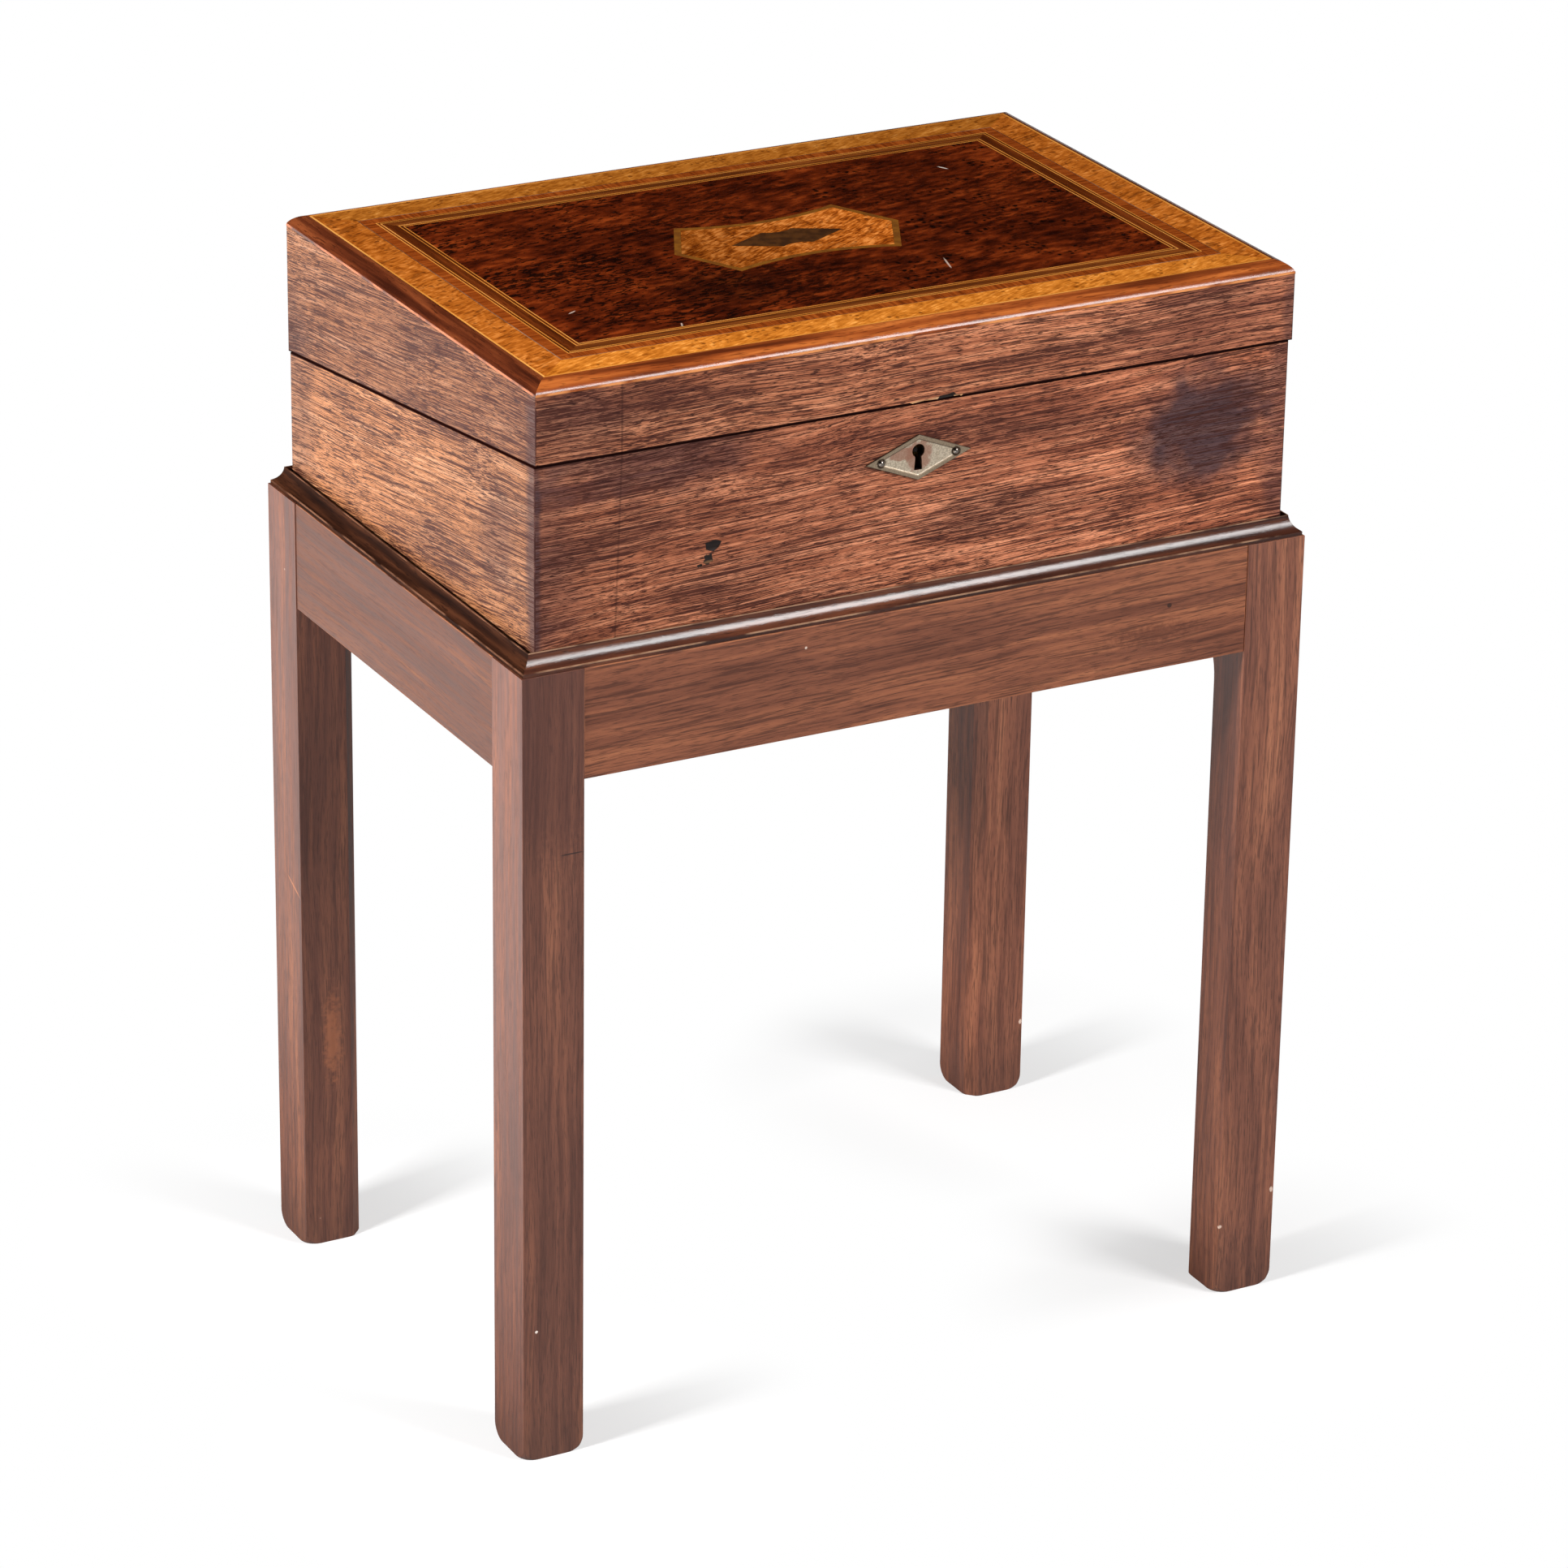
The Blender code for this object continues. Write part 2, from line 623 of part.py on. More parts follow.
def build_top(lid):
    for side in ("front", "back", "left", "right"):
        piece(f"border_{side}", mitred_side(LID, side, border_profile()), lid, "border")
    low = TOP_Z - VENEER
    edge = BORDER_WIDTH
    frames = (
        ("outer_stringing", STRINGING, "boxwood"),
        ("burr_band", BURR_BAND, "burr"),
        ("crossband", CROSSBAND, "crossband"),
        ("inner_stringing", INNER_STRINGING, "boxwood"),
    )
    for name, width, finish in frames:
        outer = corners_of(inside(LID, edge + INLAY_GAP))
        inner = corners_of(inside(LID, edge + width))
        piece(name, ring(outer, inner, low, TOP_Z), lid, finish)
        edge += width
    middle_y = (LID[1] + LID[3]) / 2
    outline = [(x, y + middle_y) for x, y in cartouche(CARTOUCHE_HALF_LENGTH, CARTOUCHE_CORNER, CARTOUCHE_WAIST)]
    plaque = [(x, y + middle_y) for x, y in cartouche(PLAQUE_HALF_LENGTH, PLAQUE_CORNER, PLAQUE_WAIST)]
    field = shrunk(outline, CARTOUCHE_BORDER)
    panel = prism(corners_of(inside(LID, edge + INLAY_GAP)), low, TOP_Z)
    panel = piece("burl_panel", panel, lid, "burl")
    boolean(panel, "cartouche_hole", prism(outline, low - VENEER, TOP_Z + VENEER))
    piece("cartouche_border", ring(shrunk(outline, INLAY_GAP), field, low, TOP_Z), lid, "bronze")
    field_piece = piece("cartouche_field", prism(shrunk(field, INLAY_GAP), low, TOP_Z), lid, "burr")
    boolean(field_piece, "plaque_hole", prism(plaque, low - VENEER, TOP_Z + VENEER))
    piece("cartouche_plaque", prism(shrunk(plaque, INLAY_GAP), low, TOP_Z), lid, "bronze")


def keyhole():
    """A round hole over a straight slot, as (x, z) points."""
    half = KEYHOLE_SLOT / 2
    centre = (KEYHOLE_X, KEYHOLE_Z + KEYHOLE_HEIGHT / 2 - KEYHOLE_RADIUS)
    lean = math.degrees(math.asin(half / KEYHOLE_RADIUS))
    bow = arc(centre, KEYHOLE_RADIUS, 270 + lean, 630 - lean, 2 * ARC_STEPS)
    bottom = KEYHOLE_Z - KEYHOLE_HEIGHT / 2
    return [(KEYHOLE_X - half, bottom), (KEYHOLE_X + half, bottom), *bow]


def diamond(inset):
    half_x = ESCUTCHEON_WIDTH / 2
    half_z = ESCUTCHEON_HEIGHT / 2
    keep = 1 - inset * math.hypot(half_x, half_z) / (half_x * half_z)
    reach = (half_x * keep, half_z * keep)
    signs = ((1, 0), (0, 1), (-1, 0), (0, -1))
    return [(KEYHOLE_X + reach[0] * i, KEYHOLE_Z + reach[1] * k) for i, k in signs]


def escutcheon_pin(x, seat):
    """A pin with a domed head, whose shank runs back from the plate's face."""
    tip = BASE[1] + PIN_BITE
    rings = [(tip, PIN_SHANK), (seat, PIN_SHANK), (seat, PIN_HEAD)]
    for step in range(1, ARC_STEPS):
        angle = math.pi / 2 * step / ARC_STEPS
        rings.append((seat - PIN_DOME * math.sin(angle), PIN_HEAD * math.cos(angle)))
    return lofted([[(px, y, pz) for px, pz in circle((x, KEYHOLE_Z), radius)] for y, radius in rings])


def build_escutcheon(desk, front_wall):
    back = BASE[1] - INLAY_GAP
    face = back - ESCUTCHEON_THICKNESS
    edge = back - ESCUTCHEON_THICKNESS / 2
    loops = []
    for y, inset in ((back, 0.0), (edge, 0.0), (face, ESCUTCHEON_BEVEL)):
        loops.append([(x, y, z) for x, z in diamond(inset)])
    plate = piece("escutcheon", lofted(loops), desk, "nickel")
    before = face - ESCUTCHEON_THICKNESS
    behind = LOCK_FRONT + METAL_CLEARANCE
    boolean(plate, "escutcheon_keyhole", along_y(keyhole(), before, back + ESCUTCHEON_THICKNESS))
    boolean(front_wall, "wall_keyhole", along_y(keyhole(), before, behind))
    for name, sign in (("left", -1), ("right", 1)):
        x = KEYHOLE_X + sign * PIN_SPACING / 2
        hole = circle((x, KEYHOLE_Z), PIN_SHANK + METAL_CLEARANCE)
        boolean(plate, f"escutcheon_hole_{name}", along_y(hole, before, back + ESCUTCHEON_THICKNESS))
        boolean(front_wall, f"wall_hole_{name}", along_y(hole, before, BASE[1] + PIN_BITE + METAL_CLEARANCE))
        piece(f"escutcheon_pin_{name}", escutcheon_pin(x, face - INLAY_GAP), desk, "nickel")


def hook_window(x):
    """The stretch of the lock's top that one hook needs to pass through."""
    return (x - HOOK_CLEARANCE, x + HOOK_LEG + HOOK_FOOT + HOOK_CLEARANCE)


def build_lock(desk, front_wall):
    left = KEYHOLE_X - LOCK_WIDTH / 2
    right = KEYHOLE_X + LOCK_WIDTH / 2
    low = LOCK_TOP - LOCK_HEIGHT
    room = GLUE_GAP
    recess = block(
        (left - room, LOCK_FRONT - room, low - room),
        (right + room, FRONT_INSIDE + LOCK_DEPTH, LOCK_TOP + LOCK_DEPTH),
    )
    boolean(front_wall, "lock_recess", recess)
    case = piece("lock_case", block((left, LOCK_FRONT, low), (right, FRONT_INSIDE, LOCK_TOP)), desk, "brass")
    before = LOCK_FRONT - LOCK_PLATE
    pocket = block(
        (left + LOCK_PLATE, before, low + LOCK_PLATE),
        (right - LOCK_PLATE, FRONT_INSIDE - LOCK_PLATE, LOCK_TOP - LOCK_PLATE),
    )
    boolean(case, "lock_pocket", pocket)
    for number, x in enumerate(HOOK_X, 1):
        x0, x1 = hook_window(x)
        under = LOCK_TOP - 2 * LOCK_PLATE
        window = block((x0, before, under), (x1, HOOK_BACK + HOOK_CLEARANCE, LOCK_TOP + LOCK_PLATE))
        boolean(case, f"hook_window_{number}", window)
    centre = (KEYHOLE_X, KEYHOLE_Z + KEYHOLE_HEIGHT / 2 - KEYHOLE_RADIUS)
    drill_pin = along_y(circle(centre, DRILL_PIN_RADIUS), LOCK_FRONT, BOLT_BACK)
    piece("lock_drill_pin", drill_pin, desk, "steel")


def build_bolt(bolt):
    """A comb-shaped bolt: a bar behind the hooks, with a finger that slides over each hook's foot."""
    front = HOOK_FRONT
    bar = BOLT_BACK - BOLT_BAR
    low = FOOT_TOP + METAL_CLEARANCE
    high = LOCK_TOP - LOCK_PLATE - METAL_CLEARANCE
    fingers = []
    for x in HOOK_X:
        start = x + HOOK_LEG + HOOK_FOOT + 2 * METAL_CLEARANCE
        fingers.append((start, start + BOLT_FINGER))
    (a, b), (c, d) = fingers
    plan = [(a, front), (b, front), (b, bar), (c, bar), (c, front), (d, front), (d, BOLT_BACK), (a, BOLT_BACK)]
    piece("lock_bolt", prism(plan, low, high), bolt, "brass")


def build_link(lid, front_wall):
    """The link plate let into the lid's lower edge, with two hooks that drop into the lock."""
    half = LINK_WIDTH / 2
    top = LINK_Z + LINK_PLATE
    tip = LINK_Z - HOOK_DROP
    outline = [(KEYHOLE_X - half, top), (KEYHOLE_X - half, LINK_Z)]
    for x in HOOK_X:
        leg = x + HOOK_LEG
        foot = leg + HOOK_FOOT
        outline += [(x, LINK_Z), (x, tip), (foot, tip), (foot, FOOT_TOP), (leg, FOOT_TOP), (leg, LINK_Z)]
    outline += [(KEYHOLE_X + half, LINK_Z), (KEYHOLE_X + half, top)]
    piece("link_plate", along_y(outline, HOOK_FRONT, HOOK_BACK), lid, "brass")
    room = METAL_CLEARANCE
    seat = block(
        (KEYHOLE_X - half - room, HOOK_FRONT - room, LINK_Z - LINK_PLATE),
        (KEYHOLE_X + half + room, HOOK_BACK + room, top + room),
    )
    boolean(front_wall, "link_seat", seat)


def knuckle(side):
    """A knuckle's outline about the hinge axis, with a tail that joins its leaf above or below."""
    upper = -LEAF_FACE
    lower = -LEAF_FACE - LEAF_THICKNESS
    tail = KNUCKLE_RADIUS + KNUCKLE_CLEARANCE + LEAF_THICKNESS
    start = math.degrees(math.asin(upper / KNUCKLE_RADIUS))
    end = 360 + math.degrees(math.asin(lower / KNUCKLE_RADIUS))
    outline = [(tail, upper), *arc((0, 0), KNUCKLE_RADIUS, start, end, ROUND_SIDES), (tail, lower)]
    return [(-reach, -side * rise) for reach, rise in outline]


def add_hinge(name, x, desk, lid, walls):
    """Two leaves let into the back walls along the cut, and the pin through their knuckles."""
    axis = (x, HINGE_Y, HINGE_Z)
    half = HINGE_LENGTH / 2
    third = HINGE_LENGTH / 6
    gap = KNUCKLE_CLEARANCE / 2
    room = METAL_CLEARANCE
    spans = {
        "base": [(-half, -third - gap), (third + gap, half)],
        "lid": [(-third + gap, third - gap)],
    }
    bore = circle((0, 0), HINGE_PIN_RADIUS + PIN_CLEARANCE)
    for which, side, parent in (("base", -1, desk), ("lid", 1, lid)):
        near, far = sorted((side * LEAF_FACE, side * (LEAF_FACE + LEAF_THICKNESS)))
        plate = block((-half, -LEAF_REACH, near), (half, -KNUCKLE_RADIUS - KNUCKLE_CLEARANCE, far))
        label = f"hinge_{name}_{which}_leaf"
        leaf = piece(label, plate, parent, "brass", axis, -CUT_ANGLE)
        for number, (start, end) in enumerate(spans[which], 1):
            roll = along_x(knuckle(side), start, end)
            boolean(leaf, f"{label}_knuckle_{number}", roll, "UNION", axis, -CUT_ANGLE)
        boolean(leaf, f"{label}_bore", along_x(bore, -HINGE_LENGTH, HINGE_LENGTH), at=axis, turn=-CUT_ANGLE)
        low, high = sorted((0.0, side * (LEAF_FACE + LEAF_THICKNESS + room)))
        seat = block((-half - room, -LEAF_REACH - room, low), (half + room, KNUCKLE_RADIUS, high))
        boolean(walls[which], f"{label}_seat", seat, at=axis, turn=-CUT_ANGLE)
    pin = along_x(circle((0, 0), HINGE_PIN_RADIUS), -half, half)
    piece(f"hinge_{name}_pin", pin, desk, "steel", axis, -CUT_ANGLE)


def main():
    clear_scene()
    stand = build_stand()
    desk = pivot("desk", (0, 0, BASE_Z), stand)
    lid = pivot("lid_hinge", (0, HINGE_Y, HINGE_Z), desk)
    bolt = pivot("bolt_slide", (KEYHOLE_X, BOLT_BACK, LOCK_TOP - LOCK_PLATE), desk)
    base_walls = build_base(desk)
    build_till(desk)
    build_base_flap(desk)
    lid_walls = build_lid(lid)
    build_lid_flap(lid)
    build_top(lid)
    build_escutcheon(desk, base_walls["front"])
    build_lock(desk, base_walls["front"])
    build_bolt(bolt)
    build_link(lid, lid_walls["front"])
    backs = {"base": base_walls["back"], "lid": lid_walls["back"]}
    for name, x in (("left", -HINGE_X), ("right", HINGE_X)):
        add_hinge(name, x, desk, lid, backs)


main()
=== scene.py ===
import json
import math

import bpy
from mathutils import Euler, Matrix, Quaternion, Vector


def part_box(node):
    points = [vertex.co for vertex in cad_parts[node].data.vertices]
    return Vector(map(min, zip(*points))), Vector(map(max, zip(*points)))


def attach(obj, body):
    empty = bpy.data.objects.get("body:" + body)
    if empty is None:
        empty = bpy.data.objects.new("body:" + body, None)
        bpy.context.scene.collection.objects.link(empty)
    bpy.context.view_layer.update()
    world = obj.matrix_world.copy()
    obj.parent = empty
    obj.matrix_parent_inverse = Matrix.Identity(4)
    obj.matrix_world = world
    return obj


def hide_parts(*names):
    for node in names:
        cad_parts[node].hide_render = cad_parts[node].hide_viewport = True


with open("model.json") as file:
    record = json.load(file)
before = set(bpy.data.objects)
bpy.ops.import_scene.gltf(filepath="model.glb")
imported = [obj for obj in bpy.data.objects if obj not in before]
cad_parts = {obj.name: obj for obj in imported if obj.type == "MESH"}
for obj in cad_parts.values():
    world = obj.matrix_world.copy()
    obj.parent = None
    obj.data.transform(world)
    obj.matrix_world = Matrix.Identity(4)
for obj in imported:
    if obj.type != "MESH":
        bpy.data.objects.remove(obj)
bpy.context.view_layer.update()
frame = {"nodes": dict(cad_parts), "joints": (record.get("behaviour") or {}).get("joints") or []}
print("frame loaded with", len(frame["nodes"]), "nodes")

# Places that the frame gives
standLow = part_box("leg_front_left")[0]
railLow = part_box("rail_front")[0]
baseLow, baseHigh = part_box("base_front")[0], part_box("base_back")[1]
lidLow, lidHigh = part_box("lid_front")[0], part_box("lid_back")[1]
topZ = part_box("burl_panel")[1].z
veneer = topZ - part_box("burl_panel")[0].z
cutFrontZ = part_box("base_front")[1].z
cutRise = (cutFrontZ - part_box("base_back")[1].z) / (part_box("base_back")[0].y - baseLow.y)
cutNormal = Vector((0, cutRise, 1)).normalized()
cutPoint = Vector((0, baseLow.y, cutFrontZ))
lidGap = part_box("lid_left")[0].z - (cutFrontZ - cutRise * (lidHigh.y - baseLow.y))
hingeAxis = Vector(next(j["pos_m"] for j in frame["joints"] if j["name"] == "lid_hinge"))
keyholeX = (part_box("escutcheon")[0].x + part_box("escutcheon")[1].x) / 2
keyholeZ = (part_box("escutcheon")[0].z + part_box("escutcheon")[1].z) / 2
quarterTurns = {"front": 0, "right": 1, "back": 2, "left": 3}


# Modelling tools
def lone(piece):
    if bpy.context.mode != "OBJECT":
        bpy.ops.object.mode_set(mode="OBJECT")
    bpy.ops.object.select_all(action="DESELECT")
    piece.select_set(True)
    bpy.context.view_layer.objects.active = piece


def named(name):
    piece = bpy.context.object
    piece.name = piece.data.name = name
    return piece


def settle(piece):
    lone(piece)
    bpy.ops.object.transform_apply(location=True, rotation=True, scale=True)
    return piece


def addBlock(name, low, high):
    bpy.ops.object.select_all(action="DESELECT")
    low, high = Vector(low), Vector(high)
    bpy.ops.mesh.primitive_cube_add(size=1, location=(low + high) / 2)
    block = named(name)
    block.scale = high - low
    return settle(block)


def sliceOff(piece, point, normal):  # takes away what lies on the normal's side
    lone(piece)
    bpy.ops.object.mode_set(mode="EDIT")
    bpy.ops.mesh.select_all(action="SELECT")
    bpy.ops.mesh.bisect(plane_co=point, plane_no=normal, use_fill=True, clear_outer=True, threshold=1e-6)
    bpy.ops.object.mode_set(mode="OBJECT")


def pickEdges(piece, test):  # leaves the piece in edit mode with the wanted edges picked
    lone(piece)
    bpy.context.tool_settings.mesh_select_mode = (False, True, False)
    bpy.ops.object.mode_set(mode="EDIT")
    bpy.ops.mesh.select_all(action="DESELECT")
    bpy.ops.object.mode_set(mode="OBJECT")
    points = piece.data.vertices
    for edge in piece.data.edges:
        a, b = (points[i].co for i in edge.vertices)
        edge.select = bool(test((a + b) / 2, b - a))
    bpy.ops.object.mode_set(mode="EDIT")


def pickFaces(piece, test):
    lone(piece)
    bpy.context.tool_settings.mesh_select_mode = (False, False, True)
    bpy.ops.object.mode_set(mode="EDIT")
    bpy.ops.mesh.select_all(action="DESELECT")
    bpy.ops.object.mode_set(mode="OBJECT")
    for face in piece.data.polygons:
        face.select = bool(test(face.center, face.normal))
    bpy.ops.object.mode_set(mode="EDIT")


def roundEdges(piece, radius, steps, test, profile=0.5, kind="OFFSET"):
    pickEdges(piece, test)
    bpy.ops.mesh.bevel(
        offset=radius, offset_pct=radius, offset_type=kind, segments=steps,
        profile=profile, affect="EDGES", clamp_overlap=False,
    )
    bpy.ops.object.mode_set(mode="OBJECT")


def applyAll(piece):
    lone(piece)
    for modifier in list(piece.modifiers):
        bpy.ops.object.modifier_apply(modifier=modifier.name)


def easeEdges(piece, width, steps=2, angle=35):
    ease = piece.modifiers.new("ease", "BEVEL")
    ease.width = width
    ease.segments = steps
    ease.limit_method = "ANGLE"
    ease.angle_limit = math.radians(angle)
    applyAll(piece)


def cutBy(piece, cutter):
    cut = piece.modifiers.new("cut", "BOOLEAN")
    cut.object = cutter
    if cutter.data.materials:
        cut.material_mode = "TRANSFER"
    applyAll(piece)
    bpy.data.objects.remove(cutter)


def joined(pieces, name):
    lone(pieces[0])
    for piece in pieces[1:]:
        piece.select_set(True)
    bpy.ops.object.join()
    return named(name)


def markFaces(piece, test):  # marks faces for the wear along edges
    wear = piece.data.attributes.new("edgeWear", "FLOAT", "FACE")
    wear.data.foreach_set("value", [float(bool(test(f.center, f.normal))) for f in piece.data.polygons])


def markEdges(piece, flats=(), above=0.0):  # marks the faces that turn round an edge
    axes = [Vector(a) for a in ((1, 0, 0), (0, 1, 0), (0, 0, 1), cutNormal, *flats)]
    turned = lambda normal: max(abs(normal.dot(a.normalized())) for a in axes) < 0.985
    markFaces(piece, lambda centre, normal: centre.z > above and turned(normal))


def dress(piece, body, slot, surface, *nodes, smooth=35, flats=(), above=0.0):
    lone(piece)
    bpy.ops.object.shade_smooth_by_angle(angle=math.radians(smooth))
    weigh = piece.modifiers.new("weigh", "WEIGHTED_NORMAL")
    weigh.keep_sharp = True
    applyAll(piece)
    if "edgeWear" not in piece.data.attributes:
        markEdges(piece, flats, above)
    if surface and not piece.data.materials:
        piece.data.materials.append(surface)
    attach(piece, body)
    if nodes:
        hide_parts(*nodes)
    return piece


def copyNode(node, name):  # a merged copy of a frame node, for finishing by hand
    piece = bpy.data.objects.new(name, frame["nodes"][node].data.copy())
    bpy.context.scene.collection.objects.link(piece)
    piece.data.name = name
    piece.data.materials.clear()
    lone(piece)
    bpy.ops.object.mode_set(mode="EDIT")
    bpy.ops.mesh.select_all(action="SELECT")
    bpy.ops.mesh.remove_doubles(threshold=1e-6)
    bpy.ops.mesh.dissolve_limited(angle_limit=math.radians(1))
    bpy.ops.object.mode_set(mode="OBJECT")
    return piece


# A mitred side is drawn along X at the front of its frame, and then turned to its side
def sideSize(low, high, side):
    across = (high.x - low.x, high.y - low.y)
    return (across[0], across[1] / 2) if side in ("front", "back") else (across[1], across[0] / 2)


def cutMitres(piece, length, reach, gap=0.00003):
    for sign in (-1, 1):
        sliceOff(piece, (sign * (length / 2 - gap), -reach, 0), (sign, 1, 0))


def turnToSide(piece, low, high, side):
    piece.location = ((low.x + high.x) / 2, (low.y + high.y) / 2, 0)
    piece.rotation_euler.z = quarterTurns[side] * math.pi / 2
    return settle(piece)


# Shader tools
def put(tree, kind, settings=None, **inputs):
    node = tree.nodes.new("ShaderNode" + kind)
    for name, value in (settings or {}).items():
        setattr(node, name, value)
    for name, value in inputs.items():
        feed(tree, node.inputs[name.replace("_", " ")], value)
    return node


def feed(tree, socket, value):
    if isinstance(value, bpy.types.NodeSocket):
        tree.links.new(value, socket)
    elif value is not None:
        socket.default_value = value


def maths(tree, operation, *values, clamp=False):
    node = put(tree, "Math", {"operation": operation, "use_clamp": clamp})
    for socket, value in zip(node.inputs, values):
        feed(tree, socket, value)
    return node.outputs[0]


def spread(tree, value, low, high, start=0.0, end=1.0):  # a smooth step between two values
    node = put(tree, "MapRange", {"interpolation_type": "SMOOTHSTEP"}, Value=value)
    for name, number in (("From Min", low), ("From Max", high), ("To Min", start), ("To Max", end)):
        node.inputs[name].default_value = number
    return node.outputs["Result"]


def mixed(tree, factor, first, second, mode="MIX"):
    node = put(tree, "Mix", {"data_type": "RGBA", "blend_type": mode, "clamp_factor": True})
    feed(tree, node.inputs[0], factor)
    for socket, value in ((node.inputs[6], first), (node.inputs[7], second)):
        feed(tree, socket, (*value, 1.0) if isinstance(value, tuple) else value)
    return node.outputs[2]


def shades(tree, value, stops):
    node = put(tree, "ValToRGB", Fac=value)
    marks = node.color_ramp.elements
    while len(marks) < len(stops):
        marks.new(0.5)
    for mark, (place, colour) in zip(marks, stops):
        mark.position = place
        mark.color = (*colour, 1.0)
    return node.outputs["Color"]


def newGroup(name, inputs, outputs):
    group = bpy.data.node_groups.new(name, "ShaderNodeTree")
    for label, kind in inputs:
        group.interface.new_socket(label, in_out="INPUT", socket_type="NodeSocket" + kind)
    for label, kind in outputs:
        group.interface.new_socket(label, in_out="OUTPUT", socket_type="NodeSocket" + kind)
    return group, group.nodes.new("NodeGroupInput").outputs, group.nodes.new("NodeGroupOutput").inputs


def useGroup(tree, group, **inputs):
    return put(tree, "Group", {"node_tree": group}, **inputs).outputs


def newSurface(name, roughness=0.4, metallic=0.0, gloss=0.5):
    made = bpy.data.materials.new(name)
    made.use_nodes = True
    shader = made.node_tree.nodes["Principled BSDF"]
    shader.inputs["Roughness"].default_value = roughness
    shader.inputs["Metallic"].default_value = metallic
    shader.inputs["Specular IOR Level"].default_value = gloss
    return made, made.node_tree, shader.inputs


def placeOf(tree, turn=(0, 0, 0), shift=(0, 0, 0)):
    place = put(tree, "TexCoord").outputs["Object"]
    angles = tuple(math.radians(a) for a in turn)
    return put(tree, "Mapping", Vector=place, Rotation=angles, Location=shift).outputs["Vector"]


def addBump(tree, shader, height, strength, distance=0.0002):
    bump = put(tree, "Bump", Height=height, Strength=strength, Distance=distance)
    tree.links.new(bump.outputs["Normal"], shader["Normal"])


# Stretched noise whose fibres run along X and wander a little
def makeGrain():
    inputs = [("Vector", "Vector"), ("Along", "Float"), ("Across", "Float"), ("Wander", "Float"),
        ("Detail", "Float")]
    group, start, end = newGroup("woodGrain", inputs, [("Value", "Float")])
    slow = put(group, "Mapping", Vector=start["Vector"], Scale=(8, 14, 14)).outputs["Vector"]
    noise = put(group, "TexNoise", Vector=slow, Scale=1.0, Detail=1.0).outputs["Color"]
    drift = put(group, "VectorMath", {"operation": "SUBTRACT"})
    group.links.new(noise, drift.inputs[0])
    drift.inputs[1].default_value = (0.5, 0.5, 0.5)
    reach = put(group, "VectorMath", {"operation": "SCALE"})
    group.links.new(drift.outputs["Vector"], reach.inputs[0])
    group.links.new(start["Wander"], reach.inputs["Scale"])
    moved = put(group, "VectorMath", {"operation": "ADD"})
    group.links.new(start["Vector"], moved.inputs[0])
    group.links.new(reach.outputs["Vector"], moved.inputs[1])
    stretch = put(group, "CombineXYZ", X=start["Along"], Y=start["Across"], Z=start["Across"])
    drawn = put(group, "VectorMath", {"operation": "MULTIPLY"})
    group.links.new(moved.outputs["Vector"], drawn.inputs[0])
    group.links.new(stretch.outputs["Vector"], drawn.inputs[1])
    fibre = put(group, "TexNoise", Vector=drawn.outputs["Vector"], Scale=1.0, Detail=start["Detail"])
    group.links.new(fibre.outputs["Fac"], end["Value"])
    return group


# Clusters of small round eyes among curling figure
def makeBurl():
    inputs = [("Vector", "Vector"), ("Figure", "Float"), ("Eyes", "Float"), ("Clusters", "Float")]
    outputs = [("Figure", "Float"), ("Eyes", "Float"), ("Halo", "Float"), ("Fleck", "Float")]
    group, start, end = newGroup("burlFigure", inputs, outputs)
    curl = put(group, "TexNoise", Vector=start["Vector"], Scale=start["Figure"], Detail=4.0, Distortion=1.6)
    curl.inputs["Roughness"].default_value = 0.62
    group.links.new(curl.outputs["Fac"], end["Figure"])
    warp = put(group, "TexNoise", Vector=start["Vector"],
        Scale=maths(group, "MULTIPLY", start["Eyes"], 0.6))
    push = put(group, "VectorMath", {"operation": "SCALE"})
    group.links.new(warp.outputs["Color"], push.inputs[0])
    feed(group, push.inputs["Scale"], maths(group, "DIVIDE", 0.9, start["Eyes"]))
    moved = put(group, "VectorMath", {"operation": "ADD"})
    group.links.new(start["Vector"], moved.inputs[0])
    group.links.new(push.outputs["Vector"], moved.inputs[1])
    cells = put(group, "TexVoronoi", Vector=moved.outputs["Vector"], Scale=start["Eyes"], Randomness=1.0)
    patch = put(group, "TexNoise", Vector=start["Vector"], Scale=start["Clusters"],
        Detail=2.0).outputs["Fac"]
    where = spread(group, patch, 0.46, 0.60)
    size = put(group, "SeparateColor", Color=cells.outputs["Color"]).outputs["Red"]
    radius = maths(group, "MULTIPLY", maths(group, "MULTIPLY_ADD", size, 0.26, 0.14), where)
    edge = maths(group, "SUBTRACT", radius, cells.outputs["Distance"])
    feed(group, end["Eyes"], spread(group, edge, -0.04, 0.08))
    feed(group, end["Halo"], maths(group, "MULTIPLY", spread(group, edge, -0.35, 0.1), where))
    dust = put(group, "TexVoronoi", Vector=moved.outputs["Vector"],
        Scale=maths(group, "MULTIPLY", start["Eyes"], 0.55))
    rare = put(group, "SeparateColor", Color=dust.outputs["Color"]).outputs["Green"]
    spot = maths(group, "MULTIPLY", spread(group, rare, 0.62, 0.8),
        spread(group, dust.outputs["Distance"], 0.34, 0.14))
    feed(group, end["Fleck"], spot)
    return group


